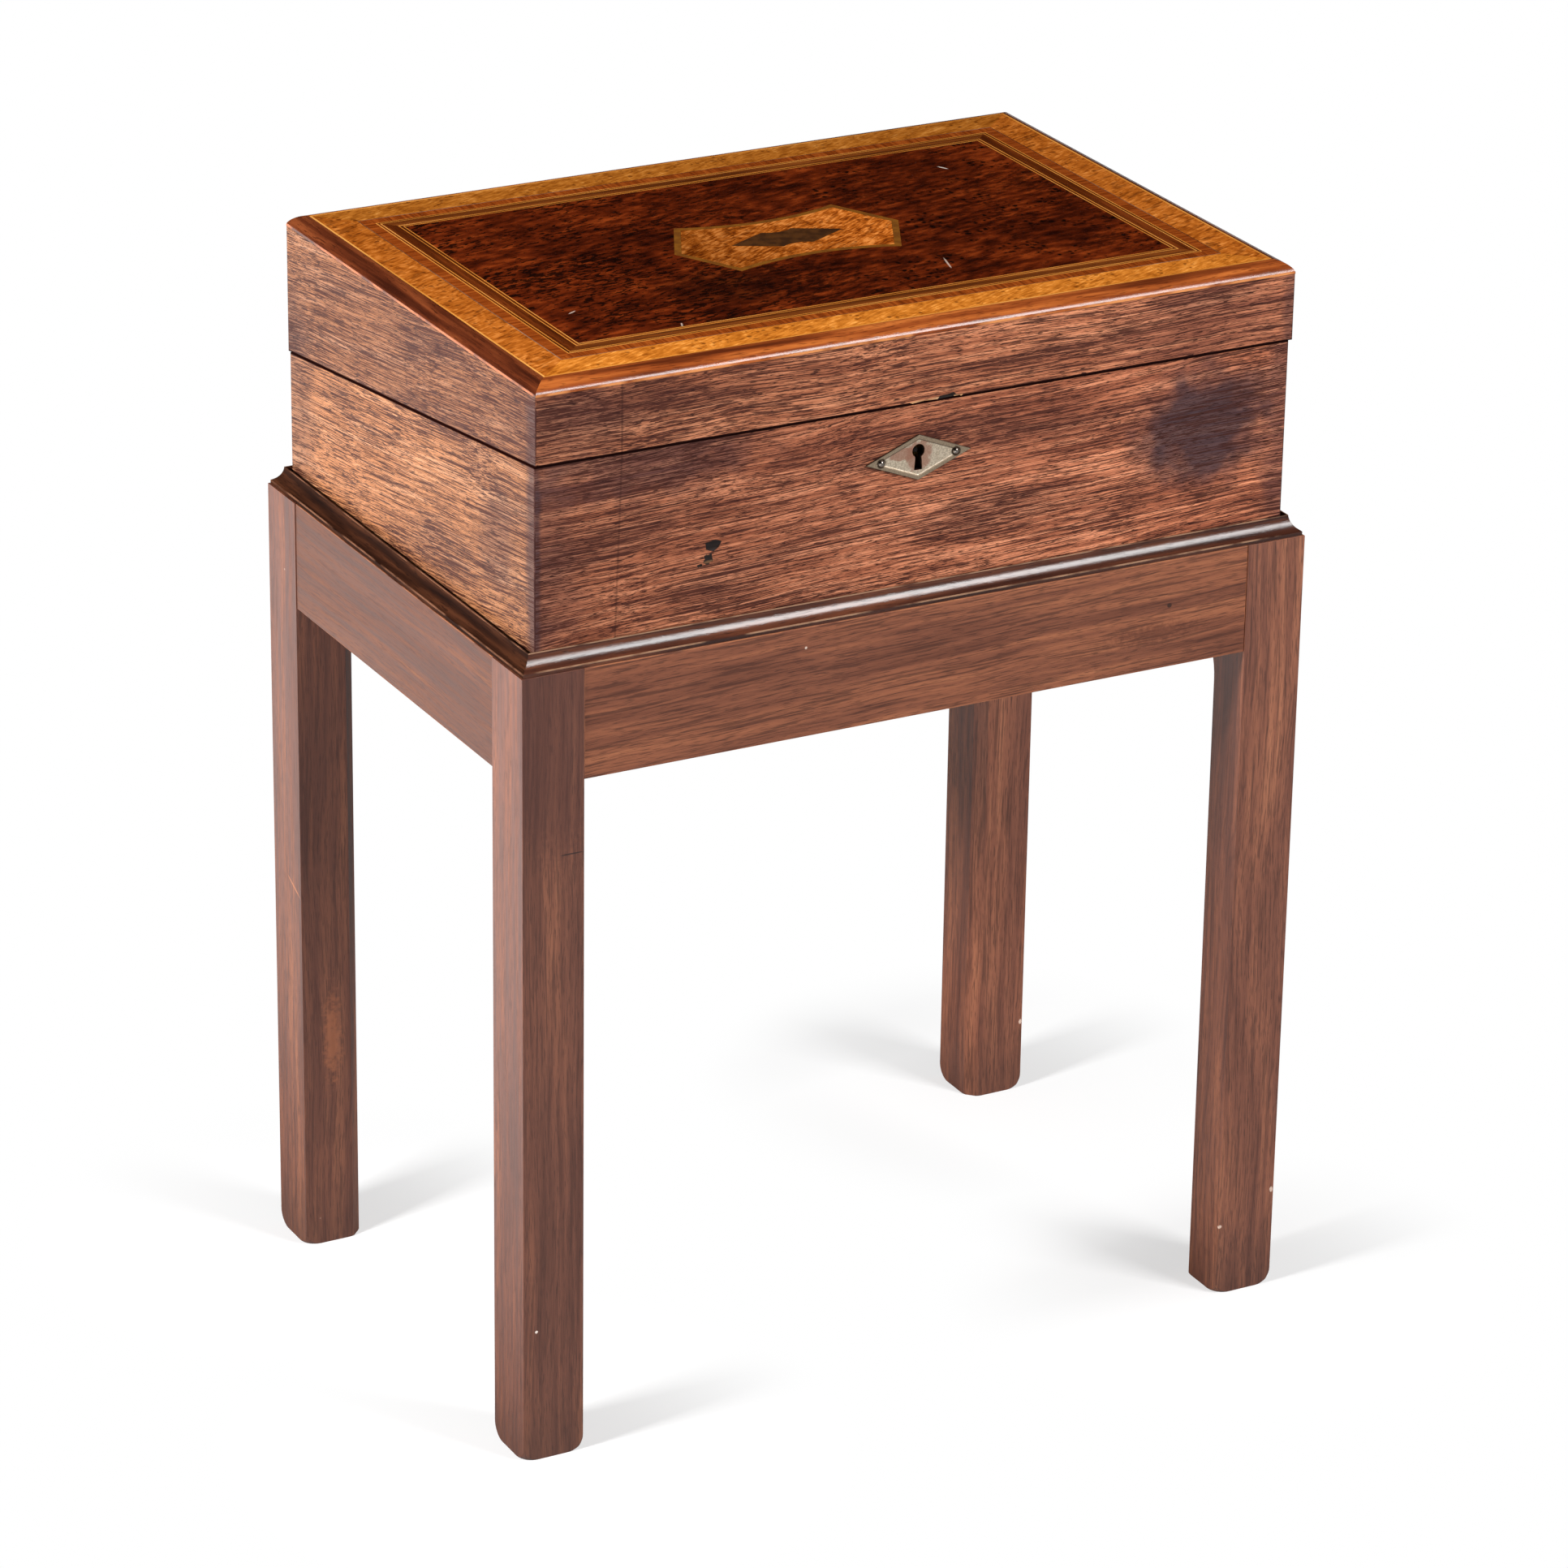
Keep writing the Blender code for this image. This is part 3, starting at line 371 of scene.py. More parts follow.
# Wear where the edge mark is strong, broken up by noise
def makeWear():
    inputs = [("Vector", "Vector"), ("Scale", "Float"), ("Amount", "Float")]
    group, start, end = newGroup("edgeWear", inputs, [("Mask", "Float")])
    edge = put(group, "Attribute", {"attribute_name": "edgeWear"}).outputs["Fac"]
    patchy = put(group, "TexNoise", Vector=start["Vector"], Scale=start["Scale"], Detail=3.0).outputs["Fac"]
    worn = maths(group, "MULTIPLY", edge, spread(group, patchy, 0.36, 0.58))
    feed(group, end["Mask"], maths(group, "MULTIPLY", worn, start["Amount"], clamp=True))
    return group


# Rare pale specks in the polish
def makeSpecks():
    inputs = [("Vector", "Vector"), ("Scale", "Float"), ("Share", "Float")]
    group, start, end = newGroup("paleSpecks", inputs, [("Mask", "Float")])
    cells = put(group, "TexVoronoi", Vector=start["Vector"], Scale=start["Scale"], Randomness=1.0)
    chance = put(group, "SeparateColor", Color=cells.outputs["Color"]).outputs["Blue"]
    chosen = maths(group, "LESS_THAN", chance, start["Share"])
    feed(group, end["Mask"], maths(group, "MULTIPLY", chosen,
        spread(group, cells.outputs["Distance"], 0.16, 0.07)))
    return group


# An oval patch with a soft or ragged rim, in metres
def makePatch():
    inputs = [("Vector", "Vector"), ("Centre", "Vector"), ("Size", "Vector"), ("Ragged", "Float"),
        ("Scale", "Float")]
    group, start, end = newGroup("patch", inputs, [("Distance", "Float")])
    away = put(group, "VectorMath", {"operation": "SUBTRACT"})
    group.links.new(start["Vector"], away.inputs[0])
    group.links.new(start["Centre"], away.inputs[1])
    scaled = put(group, "VectorMath", {"operation": "DIVIDE"})
    group.links.new(away.outputs["Vector"], scaled.inputs[0])
    group.links.new(start["Size"], scaled.inputs[1])
    far = put(group, "VectorMath", {"operation": "LENGTH"})
    group.links.new(scaled.outputs["Vector"], far.inputs[0])
    rough = put(group, "TexNoise", Vector=start["Vector"], Scale=start["Scale"], Detail=3.0).outputs["Fac"]
    rough = maths(group, "MULTIPLY", maths(group, "SUBTRACT", rough, 0.5), start["Ragged"])
    feed(group, end["Distance"], maths(group, "ADD", far.outputs["Value"], rough))
    return group


grainGroup = makeGrain()
burlGroup = makeBurl()
wearGroup = makeWear()
speckGroup = makeSpecks()
patchGroup = makePatch()
alongX, alongY, alongZ = (0, 0, 0), (0, 0, -90), (0, 90, 0)


def grain(tree, place, along, across, wander=0.004, detail=3.0):
    return useGroup(tree, grainGroup, Vector=place, Along=along, Across=across, Wander=wander,
        Detail=detail)["Value"]


def patch(tree, place, centre, size, ragged=0.0, scale=60.0, turn=(0, 0, 0)):
    turned = Euler([math.radians(a) for a in turn])
    if any(turn):
        place = put(tree, "Mapping", Vector=place, Rotation=turned).outputs["Vector"]
    centre = turned.to_matrix() @ Vector(centre)
    return useGroup(
        tree, patchGroup, Vector=place, Centre=centre, Size=size, Ragged=ragged, Scale=scale
    )["Distance"]


def addMarks(tree, place, colour, marks):  # small ovals of another colour, each at its own place
    for mark in marks:
        far = patch(tree, place, mark["at"], mark["size"], mark.get("ragged", 0.6), 400.0,
            mark.get("turn", (0, 0, 0)))
        colour = mixed(tree, spread(tree, far, 1.2, mark.get("core", 0.7), 0.0, mark["strength"]), colour,
            mark["tint"])
    return colour


def scratch(start, end, width, tint, strength):  # a mark along a line on the top
    start, end = Vector(start), Vector(end)
    way = end - start
    middle = (start + end) / 2
    return {"at": (middle.x, middle.y, topZ), "size": (way.length / 2, width / 2, 0.01), "tint": tint,
            "turn": (0, 0, -math.degrees(math.atan2(way.y, way.x))), "strength": strength}


rosewoodLook = {
    "tones": [(0.37, (0.200, 0.053, 0.022)), (0.46, (0.305, 0.088, 0.036)),
              (0.53, (0.420, 0.131, 0.054)), (0.61, (0.560, 0.194, 0.084))],
    "side tones": [(0.32, (0.265, 0.081, 0.030)), (0.50, (0.375, 0.122, 0.048)),
        (0.66, (0.480, 0.184, 0.088))],
    "smudge": (0.055, 0.024, 0.023),
    "streak": (0.050, 0.014, 0.010),
    "pore": (0.024, 0.007, 0.006),
    "edge": (0.040, 0.014, 0.012),
    # colour of the dark patches: a real stain, and painted shade at the far ends of the boards
    "stain": (0.030, 0.026, 0.038),
    # painted shade for the gap between lid and base
    "gap": (0.010, 0.001, 0.0005),
    "front lines": {"streak": (17, 1500), "dash": (60, 3100), "wander": 0.009, "from": (0.540, 0.572),
        "strength": 0.86},
    "side lines": {"streak": (15, 2000), "dash": (34, 3300), "wander": 0.007, "from": (0.550, 0.580),
        "strength": 0.92},
}


def rosewood(name, turn, shade, axis, paintedLightSlope, patches=(), joints=(), smudges=0.32, tint=(1, 1, 1), gloss=0.3,
        dense=None):
    look = rosewoodLook
    side = dense is not None
    made, tree, shader = newSurface(name, gloss=gloss)
    still = put(tree, "TexCoord").outputs["Object"]
    place = placeOf(tree, turn)
    fine = look["side lines" if side else "front lines"]
    wander = fine["wander"]
    bands = grain(tree, place, 4, 60, wander, 2.0)
    cloud = grain(tree, place, 9, 40, wander, 4.0)
    figure = grain(tree, place, 15, 520, wander)
    streak = grain(tree, place, *fine["streak"], wander, 2.5)
    dash = grain(tree, place, *fine["dash"], wander, 1.5)
    pore = grain(tree, place, 190, 3200, wander, 1.0)
    heavy = maths(tree, "MULTIPLY_ADD", cloud, 0.20, (dense or 0.0) - 0.10)  # more lines in the clouds
    tone = maths(tree, "ADD", maths(tree, "MULTIPLY", bands, 0.35), maths(tree, "MULTIPLY", figure, 0.65))
    # the tint gives the veneer's hue and also a paler cast that stands in for sheen taken off the finish:
    # painted sheen
    colour = mixed(tree, 1.0, shades(tree, tone, look["side tones" if side else "tones"]), tint, "MULTIPLY")
    spot = put(tree, "SeparateXYZ", Vector=still).outputs
    # painted light: paler along the axis where the slope is above nought, with some of the veneer's own tone
    # on the fronts
    lit = maths(tree, "MULTIPLY_ADD", spot[axis], paintedLightSlope, shade)
    colour = mixed(tree, 1.0, colour, lit, "MULTIPLY")
    colour = mixed(tree, spread(tree, cloud, 0.50, 0.66, 0.0, smudges), colour, look["smudge"])
    # dark patches: a stain and darker zones by the left-hand corners, while those at the right-hand and back
    # ends are painted shade
    for centre, size, ragged, strength in patches:
        soft = spread(tree, patch(tree, still, centre, size, ragged, 70.0), 1.15, 0.45, 0.0, strength)
        colour = mixed(tree, soft, colour, look["stain"])
    lines = spread(tree, maths(tree, "ADD", streak, heavy), *fine["from"], 0.0, fine["strength"])
    colour = mixed(tree, lines, colour, look["streak"])
    dashes = spread(tree, maths(tree, "ADD", dash, heavy), *fine["from"], 0.0, fine["strength"])
    colour = mixed(tree, dashes, colour, look["streak"])
    pores = spread(tree, pore, 0.58, 0.63, 0.0, 0.9)
    colour = mixed(tree, pores, colour, look["pore"])
    for x, slope, strength in joints:
        line = maths(tree, "SUBTRACT", spot["X"], maths(tree, "MULTIPLY_ADD", spot["Z"], slope, x))
        line = spread(tree, maths(tree, "ABSOLUTE", line), 0.0009, 0.0002, 0.0, strength)
        colour = mixed(tree, line, colour, look["pore"])
    worn = useGroup(tree, wearGroup, Vector=still, Scale=90.0, Amount=0.9)["Mask"]
    colour = mixed(tree, worn, colour, look["edge"])
    # painted shade: a dark line along the gap between lid and base, on the outer faces only
    above = put(tree, "VectorMath", {"operation": "DOT_PRODUCT"})
    tree.links.new(still, above.inputs[0])
    above.inputs[1].default_value = cutNormal
    above = maths(tree, "SUBTRACT", above.outputs["Value"], cutNormal.dot(cutPoint) + lidGap / 2)
    gap = spread(tree, maths(tree, "ABSOLUTE", above), 0.0013, 0.0010)
    inset = [maths(tree, "SUBTRACT", maths(tree, "ABSOLUTE", spot[a]), getattr(baseHigh, a.lower()))
        for a in "XY"]
    # outer edges only
    gap = maths(tree, "MULTIPLY", gap, spread(tree, maths(tree, "MAXIMUM", *inset), -0.0035, -0.0020))
    colour = mixed(tree, gap, colour, look["gap"])
    tree.links.new(colour, shader["Base Color"])
    feed(tree, shader["Roughness"], maths(tree, "MAXIMUM", gap, spread(tree, streak, 0.3, 0.7, 0.36, 0.5)))
    hollow = maths(tree, "MAXIMUM", maths(tree, "MULTIPLY", lines, 0.5),
        maths(tree, "MAXIMUM", dashes, pores))
    addBump(tree, shader, maths(tree, "MULTIPLY", hollow, -1.0), 0.35)
    return made


mahoganyLook = {
    "tones": [(0.34, (0.085, 0.024, 0.013)), (0.46, (0.135, 0.040, 0.021)),
              (0.55, (0.185, 0.056, 0.027)), (0.68, (0.270, 0.088, 0.040))],
    "pore": (0.050, 0.016, 0.010),
    "worn": (0.360, 0.130, 0.055),
    "speck": (0.75, 0.62, 0.52),
}


def mahogany(name, turn, lines=0.5, shade=1.0, marks=(), gloss=0.3, tint=(1.0, 1.0, 1.0), paintedLightSlope=0.0):
    look = mahoganyLook
    made, tree, shader = newSurface(name, gloss=gloss)
    still = put(tree, "TexCoord").outputs["Object"]
    place = placeOf(tree, turn)
    bands = grain(tree, place, 3.0, 45, 0.010)
    figure = grain(tree, place, 10, 280, 0.006)
    pore = grain(tree, place, 120, 2400, 0.006, 1.0)
    tone = maths(tree, "ADD", maths(tree, "MULTIPLY", bands, 0.5), maths(tree, "MULTIPLY", figure, 0.5))
    # the tint gives the wood's hue; on the legs it also stands in for sheen taken off the finish: painted
    # sheen
    colour = mixed(tree, 1.0, shades(tree, tone, look["tones"]), tint, "MULTIPLY")
    spot = put(tree, "SeparateXYZ", Vector=still).outputs
    # painted light: lighter towards the right where the slope is above nought
    lit = maths(tree, "MULTIPLY_ADD", spot["X"], paintedLightSlope, shade)
    lit = maths(tree, "MULTIPLY", lit, spread(tree, spot["Z"], 0.0, 0.05, 0.7, 1.0))  # darker towards the floor
    colour = mixed(tree, 1.0, colour, lit, "MULTIPLY")
    streak = grain(tree, place, 20, 900, 0.010, 2.0)
    colour = mixed(tree, spread(tree, streak, 0.53, 0.62, 0.0, lines), colour, look["pore"])
    pores = spread(tree, pore, 0.54, 0.66, 0.0, 0.6)
    colour = mixed(tree, pores, colour, look["pore"])
    worn = useGroup(tree, wearGroup, Vector=still, Scale=60.0, Amount=0.6)["Mask"]
    colour = mixed(tree, worn, colour, look["worn"])
    specks = useGroup(tree, speckGroup, Vector=still, Scale=130.0, Share=0.004)["Mask"]
    colour = mixed(tree, specks, colour, look["speck"])
    colour = addMarks(tree, still, colour, marks)
    tree.links.new(colour, shader["Base Color"])
    feed(tree, shader["Roughness"], spread(tree, figure, 0.3, 0.7, 0.38, 0.48))
    addBump(tree, shader, maths(tree, "MULTIPLY", pores, -1.0), 0.2)
    return made


def polishedEdging(name, turn, tones, roughness=0.26, worn=None, across=260, pits=0.7, gloss=0.5):
    made, tree, shader = newSurface(name, roughness, 0.0, gloss)
    place = placeOf(tree, turn)
    figure = grain(tree, place, 12, across, 0.004)
    pore = grain(tree, place, 140, 1800, 0.004, 1.0)
    colour = shades(tree, figure, tones)
    pores = spread(tree, pore, 0.58, 0.68, 0.0, pits)
    colour = mixed(tree, pores, colour, tones[0][1])
    if worn:
        rubbed = useGroup(tree, wearGroup, Vector=place, Scale=45.0, Amount=0.9)["Mask"]
        colour = mixed(tree, rubbed, colour, worn)
    tree.links.new(colour, shader["Base Color"])
    addBump(tree, shader, maths(tree, "MULTIPLY", pores, -1.0), 0.12)
    return made


mouldingTones = [(0.32, (0.026, 0.008, 0.005)), (0.5, (0.058, 0.018, 0.010)), (0.68, (0.110, 0.034, 0.016))]
# painted shade: darker tones for the side mouldings
sideMouldingTones = [(0.32, (0.008, 0.003, 0.002)), (0.5, (0.024, 0.008, 0.004)),
    (0.68, (0.060, 0.020, 0.009))]
frontBorderTones = [(0.32, (0.080, 0.015, 0.004)), (0.5, (0.235, 0.050, 0.010)),
    (0.68, (0.440, 0.120, 0.024))]
sideBorderTones = [(0.32, (0.034, 0.007, 0.003)), (0.5, (0.086, 0.018, 0.006)),
    (0.68, (0.180, 0.044, 0.013))]
crossbandTones = [(0.32, (0.150, 0.026, 0.003)), (0.5, (0.260, 0.050, 0.006)),
    (0.66, (0.370, 0.082, 0.011))]
darkStripTones = [(0.32, (0.075, 0.017, 0.003)), (0.5, (0.150, 0.036, 0.006)),
    (0.68, (0.240, 0.062, 0.010))]
sideStripTones = [(0.32, (0.048, 0.009, 0.002)), (0.5, (0.105, 0.020, 0.003)),
    (0.68, (0.190, 0.038, 0.006))]
boxwoodTones = [(0.32, (0.480, 0.160, 0.022)), (0.5, (0.680, 0.260, 0.040)), (0.68, (0.800, 0.360, 0.080))]
greyLineTones = [(0.32, (0.050, 0.020, 0.010)), (0.5, (0.140, 0.066, 0.034)), (0.68, (0.340, 0.230, 0.160))]


burrLook = {
    "tones": [(0.32, (0.195, 0.042, 0.003)), (0.44, (0.415, 0.117, 0.010)),
              (0.54, (0.620, 0.202, 0.024)), (0.66, (0.900, 0.375, 0.080))],
    "fleck": (0.100, 0.020, 0.0025),
}


def burrVeneer(name, shade=1.0, paintedLightSlope=(0.0, 0.0), lean=25, strokes=0.0, tint=(1.0, 1.0, 1.0), contrast=1.0):
    made, tree, shader = newSurface(name, 0.14)
    place = put(tree, "TexCoord").outputs["Object"]
    spot = put(tree, "SeparateXYZ", Vector=place).outputs
    burl = useGroup(tree, burlGroup, Vector=place, Figure=75.0, Eyes=360.0, Clusters=60.0)
    leaning = placeOf(tree, (0, 0, -lean))
    fine = grain(tree, leaning, 150, 700, 0.006, 4.0)
    tone = maths(tree, "ADD", maths(tree, "MULTIPLY", burl["Figure"], 0.5),
        maths(tree, "MULTIPLY", fine, 0.5))
    tone = maths(tree, "MULTIPLY_ADD", tone, contrast, 0.5 - contrast / 2)
    colour = shades(tree, tone, burrLook["tones"])
    # painted light: lighter or darker across the top where the slopes are above nought
    lit = maths(tree, "MULTIPLY_ADD", spot["X"], paintedLightSlope[0],
        maths(tree, "MULTIPLY_ADD", spot["Y"], paintedLightSlope[1], shade))
    colour = mixed(tree, 1.0, mixed(tree, 1.0, colour, lit, "MULTIPLY"), tint, "MULTIPLY")
    stroke = grain(tree, leaning, 70, 420, 0.008, 2.0)
    colour = mixed(tree, spread(tree, stroke, 0.54, 0.66, 0.0, strokes), colour, burrLook["fleck"])
    colour = mixed(tree, maths(tree, "MULTIPLY", burl["Eyes"], 0.6), colour, burrLook["fleck"])
    colour = mixed(tree, maths(tree, "MULTIPLY", burl["Fleck"], 0.7), colour, burrLook["fleck"])
    tree.links.new(colour, shader["Base Color"])
    addBump(tree, shader, fine, 0.04)
    return made


burlLook = {
    "tones": [(0.34, (0.017, 0.0026, 0.0012)), (0.44, (0.055, 0.0072, 0.0018)),
              (0.53, (0.118, 0.0155, 0.0029)), (0.66, (0.270, 0.0440, 0.0070))],
    "eye": (0.006, 0.0018, 0.0012),
    "lean": 12, "dots from": (-0.09, 0.03), "shades": [((-0.060, -0.058), (0.045, 0.034), 0.65)],
    "speck": (0.60, 0.50, 0.42),
}
topScratches = [
    scratch((0.1276, 0.0695), (0.1305, 0.0634), 0.0012, (0.75, 0.66, 0.58), 0.9),
    scratch((0.0559, -0.0650), (0.0517, -0.0800), 0.0011, (0.60, 0.46, 0.38), 0.75),
    scratch((-0.1540, -0.0600), (-0.1490, -0.0570), 0.0012, (0.60, 0.46, 0.38), 0.7),
    scratch((-0.1120, -0.1010), (-0.1100, -0.0960), 0.0010, (0.60, 0.46, 0.38), 0.7),
]


def burlVeneer(name):
    look = burlLook
    made, tree, shader = newSurface(name, 0.13)
    place = put(tree, "TexCoord").outputs["Object"]
    across = put(tree, "SeparateXYZ", Vector=place).outputs["X"]
    leaning = placeOf(tree, (0, 0, -look["lean"]))
    flame = grain(tree, leaning, 75, 210, 0.014, 6.0)
    broad = put(tree, "TexNoise", Vector=place, Scale=14.0, Detail=3.0).outputs["Fac"]
    tone = maths(tree, "ADD", maths(tree, "MULTIPLY", flame, 0.6), maths(tree, "MULTIPLY", broad, 0.4))
    colour = shades(tree, tone, look["tones"])
    burl = useGroup(tree, burlGroup, Vector=place, Figure=26.0, Eyes=270.0, Clusters=40.0)
    dots = spread(tree, across, *look["dots from"], 0.25, 1.0)
    clump = put(tree, "TexNoise", Vector=place, Scale=30.0, Detail=2.0).outputs["Fac"]
    dash = maths(tree, "ADD", grain(tree, leaning, 210, 560, 0.010, 2.0),
        maths(tree, "MULTIPLY", clump, 0.5))
    dash = maths(tree, "MULTIPLY", spread(tree, dash, 0.79, 0.85),
        spread(tree, across, *look["dots from"], 0.9, 0.55))
    for centre, size, strength in look["shades"]:
        dim = spread(tree, patch(tree, place, (*centre, topZ), (*size, 0.02), 0.8, 30.0), 1.2, 0.3, 0.0,
            strength)
        colour = mixed(tree, dim, colour, look["eye"])
    colour = mixed(tree, dash, colour, look["eye"])
    colour = mixed(tree, maths(tree, "MULTIPLY", burl["Halo"], maths(tree, "MULTIPLY", dots, 0.5)), colour,
        look["eye"])
    colour = mixed(tree, maths(tree, "MULTIPLY", burl["Eyes"], dots), colour, look["eye"])
    specks = useGroup(tree, speckGroup, Vector=place, Scale=220.0, Share=0.012)["Mask"]
    colour = mixed(tree, maths(tree, "MULTIPLY", specks, 0.6), colour, look["speck"])
    colour = addMarks(tree, place, colour, topScratches)
    tree.links.new(colour, shader["Base Color"])
    return made


def agedMetal(name, colour, shade, roughness=0.38, scale=160.0, metallic=1.0):
    made, tree, shader = newSurface(name, roughness, metallic)
    place = put(tree, "TexCoord").outputs["Object"]
    blotch = put(tree, "TexNoise", Vector=place, Scale=scale, Detail=5.0).outputs["Fac"]
    rub = grain(tree, placeOf(tree, (0, 20, 0)), 260, 2600, 0.002)
    tree.links.new(mixed(tree, spread(tree, blotch, 0.38, 0.62), shade, colour), shader["Base Color"])
    feed(tree, shader["Roughness"], spread(tree, blotch, 0.3, 0.7, roughness + 0.14, roughness - 0.06))
    addBump(tree, shader, rub, 0.06, 0.0001)
    return made


nickelLook = {"face": (0.86, 0.74, 0.58), "dull": (0.58, 0.47, 0.34), "rim": (0.47, 0.36, 0.25),
              "copper": (0.46, 0.22, 0.15), "grime": (0.040, 0.026, 0.018), "rim from": 0.80}


def wornNickel(name):  # plated face rubbed to copper round the keyhole, with grime in its corners
    look = nickelLook
    low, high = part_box("escutcheon")
    middle, half = (low + high) / 2, (high - low) / 2
    made, tree, shader = newSurface(name, 0.42, 1.0)
    place = put(tree, "TexCoord").outputs["Object"]
    spot = put(tree, "SeparateXYZ", Vector=place).outputs
    grit = put(tree, "TexNoise", Vector=place, Scale=1300.0, Detail=3.0).outputs["Fac"]
    colour = mixed(tree, spread(tree, grit, 0.35, 0.65), look["dull"], look["face"])
    for centre, size in (((0, 0.001), (0.0075, 0.0088)), ((-0.008, 0.0025), (0.0090, 0.0034))):
        rubbed = patch(tree, place, middle + Vector((centre[0], 0, centre[1])), (size[0], 0.02, size[1]),
            1.1, 330.0)
        colour = mixed(tree, spread(tree, rubbed, 1.1, 0.75, 0.0, 0.75), colour, look["copper"])
    away = [maths(tree, "DIVIDE", maths(tree, "ABSOLUTE",
        maths(tree, "SUBTRACT", spot[a], getattr(middle, a.lower()))),
                  getattr(half, a.lower())) for a in "XZ"]
    out = maths(tree, "ADD", *away)  # nought in the middle, one along the edges of the diamond
    rim = mixed(tree, spread(tree, grit, 0.3, 0.7), tuple(c * 0.7 for c in look["rim"]), look["rim"])
    colour = mixed(tree, spread(tree, out, look["rim from"] - 0.03, look["rim from"] + 0.02), colour, rim)
    step = maths(tree, "ABSOLUTE", maths(tree, "SUBTRACT", out, look["rim from"]))
    colour = mixed(tree, spread(tree, step, 0.035, 0.005, 0.0, 0.6), colour, look["grime"])
    colour = mixed(tree, spread(tree, out, 0.96, 1.0, 0.0, 0.85), colour, look["grime"])
    for side in ("left", "right"):
        pin = sum(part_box("escutcheon_pin_" + side), Vector()) / 2
        ring = patch(tree, place, pin, (0.0027, 0.02, 0.0027), 0.3, 500.0)
        colour = mixed(tree, spread(tree, ring, 1.1, 0.8, 0.0, 0.9), colour, look["grime"])
    tree.links.new(colour, shader["Base Color"])
    feed(tree, shader["Roughness"], spread(tree, grit, 0.3, 0.7, 0.52, 0.36))
    addBump(tree, shader, grit, 0.08, 0.0001)
    return made


leatherLook = {"tones": [(0.35, (0.030, 0.007, 0.006)), (0.55, (0.075, 0.014, 0.011)),
    (0.70, (0.120, 0.026, 0.018))],
               "gilt": (0.55, 0.33, 0.09), "lines": (0.0050, 0.0070), "line": 0.0004}


def tooledLeather(name, node):
    low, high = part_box(node)
    made, tree, shader = newSurface(name, 0.5)
    place = put(tree, "TexCoord").outputs["Object"]
    spot = put(tree, "SeparateXYZ", Vector=place).outputs
    pebble = put(tree, "TexVoronoi", {"feature": "DISTANCE_TO_EDGE"}, Vector=place,
        Scale=900.0).outputs["Distance"]
    wear = put(tree, "TexNoise", Vector=place, Scale=22.0, Detail=4.0).outputs["Fac"]
    colour = shades(tree, wear, leatherLook["tones"])
    edges = []
    for axis, middle, half in (("X", (low.x + high.x) / 2, (high.x - low.x) / 2),
                               ("Y", (low.y + high.y) / 2, (high.y - low.y) / 2)):
        away = maths(tree, "ABSOLUTE", maths(tree, "SUBTRACT", spot[axis], middle))
        edges.append(maths(tree, "SUBTRACT", half, away))
    inset = maths(tree, "MINIMUM", *edges)
    for line in leatherLook["lines"]:
        near = maths(tree, "ABSOLUTE", maths(tree, "SUBTRACT", inset, line))
        gilt = spread(tree, near, leatherLook["line"] * 1.3, leatherLook["line"] * 0.8, 0.0, 0.85)
        colour = mixed(tree, gilt, colour, leatherLook["gilt"])
    tree.links.new(colour, shader["Base Color"])
    addBump(tree, shader, spread(tree, pebble, 0.0, 0.25), 0.25, 0.0001)
    return made


def plainWood(name, turn, tones, gloss=0.5):
    made, tree, shader = newSurface(name, 0.55, 0.0, gloss)
    place = placeOf(tree, turn)
    bands = grain(tree, place, 3.0, 60, 0.008)
    fibre = grain(tree, place, 30, 900, 0.006)
    tone = maths(tree, "ADD", maths(tree, "MULTIPLY", bands, 0.5), maths(tree, "MULTIPLY", fibre, 0.5))
    tree.links.new(shades(tree, tone, tones), shader["Base Color"])
    addBump(tree, shader, fibre, 0.1)
    return made


insideTones = [(0.35, (0.150, 0.060, 0.026)), (0.5, (0.270, 0.120, 0.052)), (0.65, (0.380, 0.190, 0.088))]
rawTones = [(0.35, (0.300, 0.130, 0.050)), (0.5, (0.520, 0.260, 0.110)), (0.65, (0.680, 0.400, 0.200))]
pitTones = [(0.35, (0.008, 0.006, 0.006)), (0.58, (0.022, 0.015, 0.013)), (0.72, (0.200, 0.100, 0.040))]
# painted shade: near black for the keyhole's walls, the screw slots and the lock's drill pin
holeShadeTones = [(0.35, (0.004, 0.003, 0.003)), (0.65, (0.014, 0.010, 0.008))]

# dark patches as centre, size, raggedness and strength; those at the right-hand ends of the front and lid and
# at the back end of the side are painted shade
frontPatches = [
    ((0.165, baseLow.y, 0.501), (0.046, 0.02, 0.038), 0.9, 0.9),
    ((-0.2145, baseLow.y, 0.490), (0.030, 0.02, 0.070), 1.2, 0.3),
    ((-0.2145, baseLow.y, 0.490), (0.004, 0.02, 0.120), 0.7, 0.65),
    ((-0.150, baseLow.y, 0.535), (0.070, 0.02, 0.024), 1.4, 0.45),
    ((0.2145, baseLow.y, 0.500), (0.016, 0.02, 0.090), 1.0, 0.5),
]
lidPatches = [
    ((-0.195, lidLow.y, 0.560), (0.040, 0.02, 0.024), 1.2, 0.24),
    ((0.2151, lidLow.y, 0.560), (0.008, 0.02, 0.040), 1.0, 0.5),
    ((0.160, lidLow.y, 0.556), (0.070, 0.02, 0.030), 1.0, 0.22),
]
sidePatches = [
    ((-0.2145, baseLow.y, 0.500), (0.02, 0.010, 0.120), 0.8, 0.7),
    ((-0.2145, -0.104, 0.488), (0.02, 0.024, 0.030), 1.0, 0.35),
    ((-0.2145, baseHigh.y, 0.470), (0.02, 0.034, 0.090), 0.8, 0.38),
]
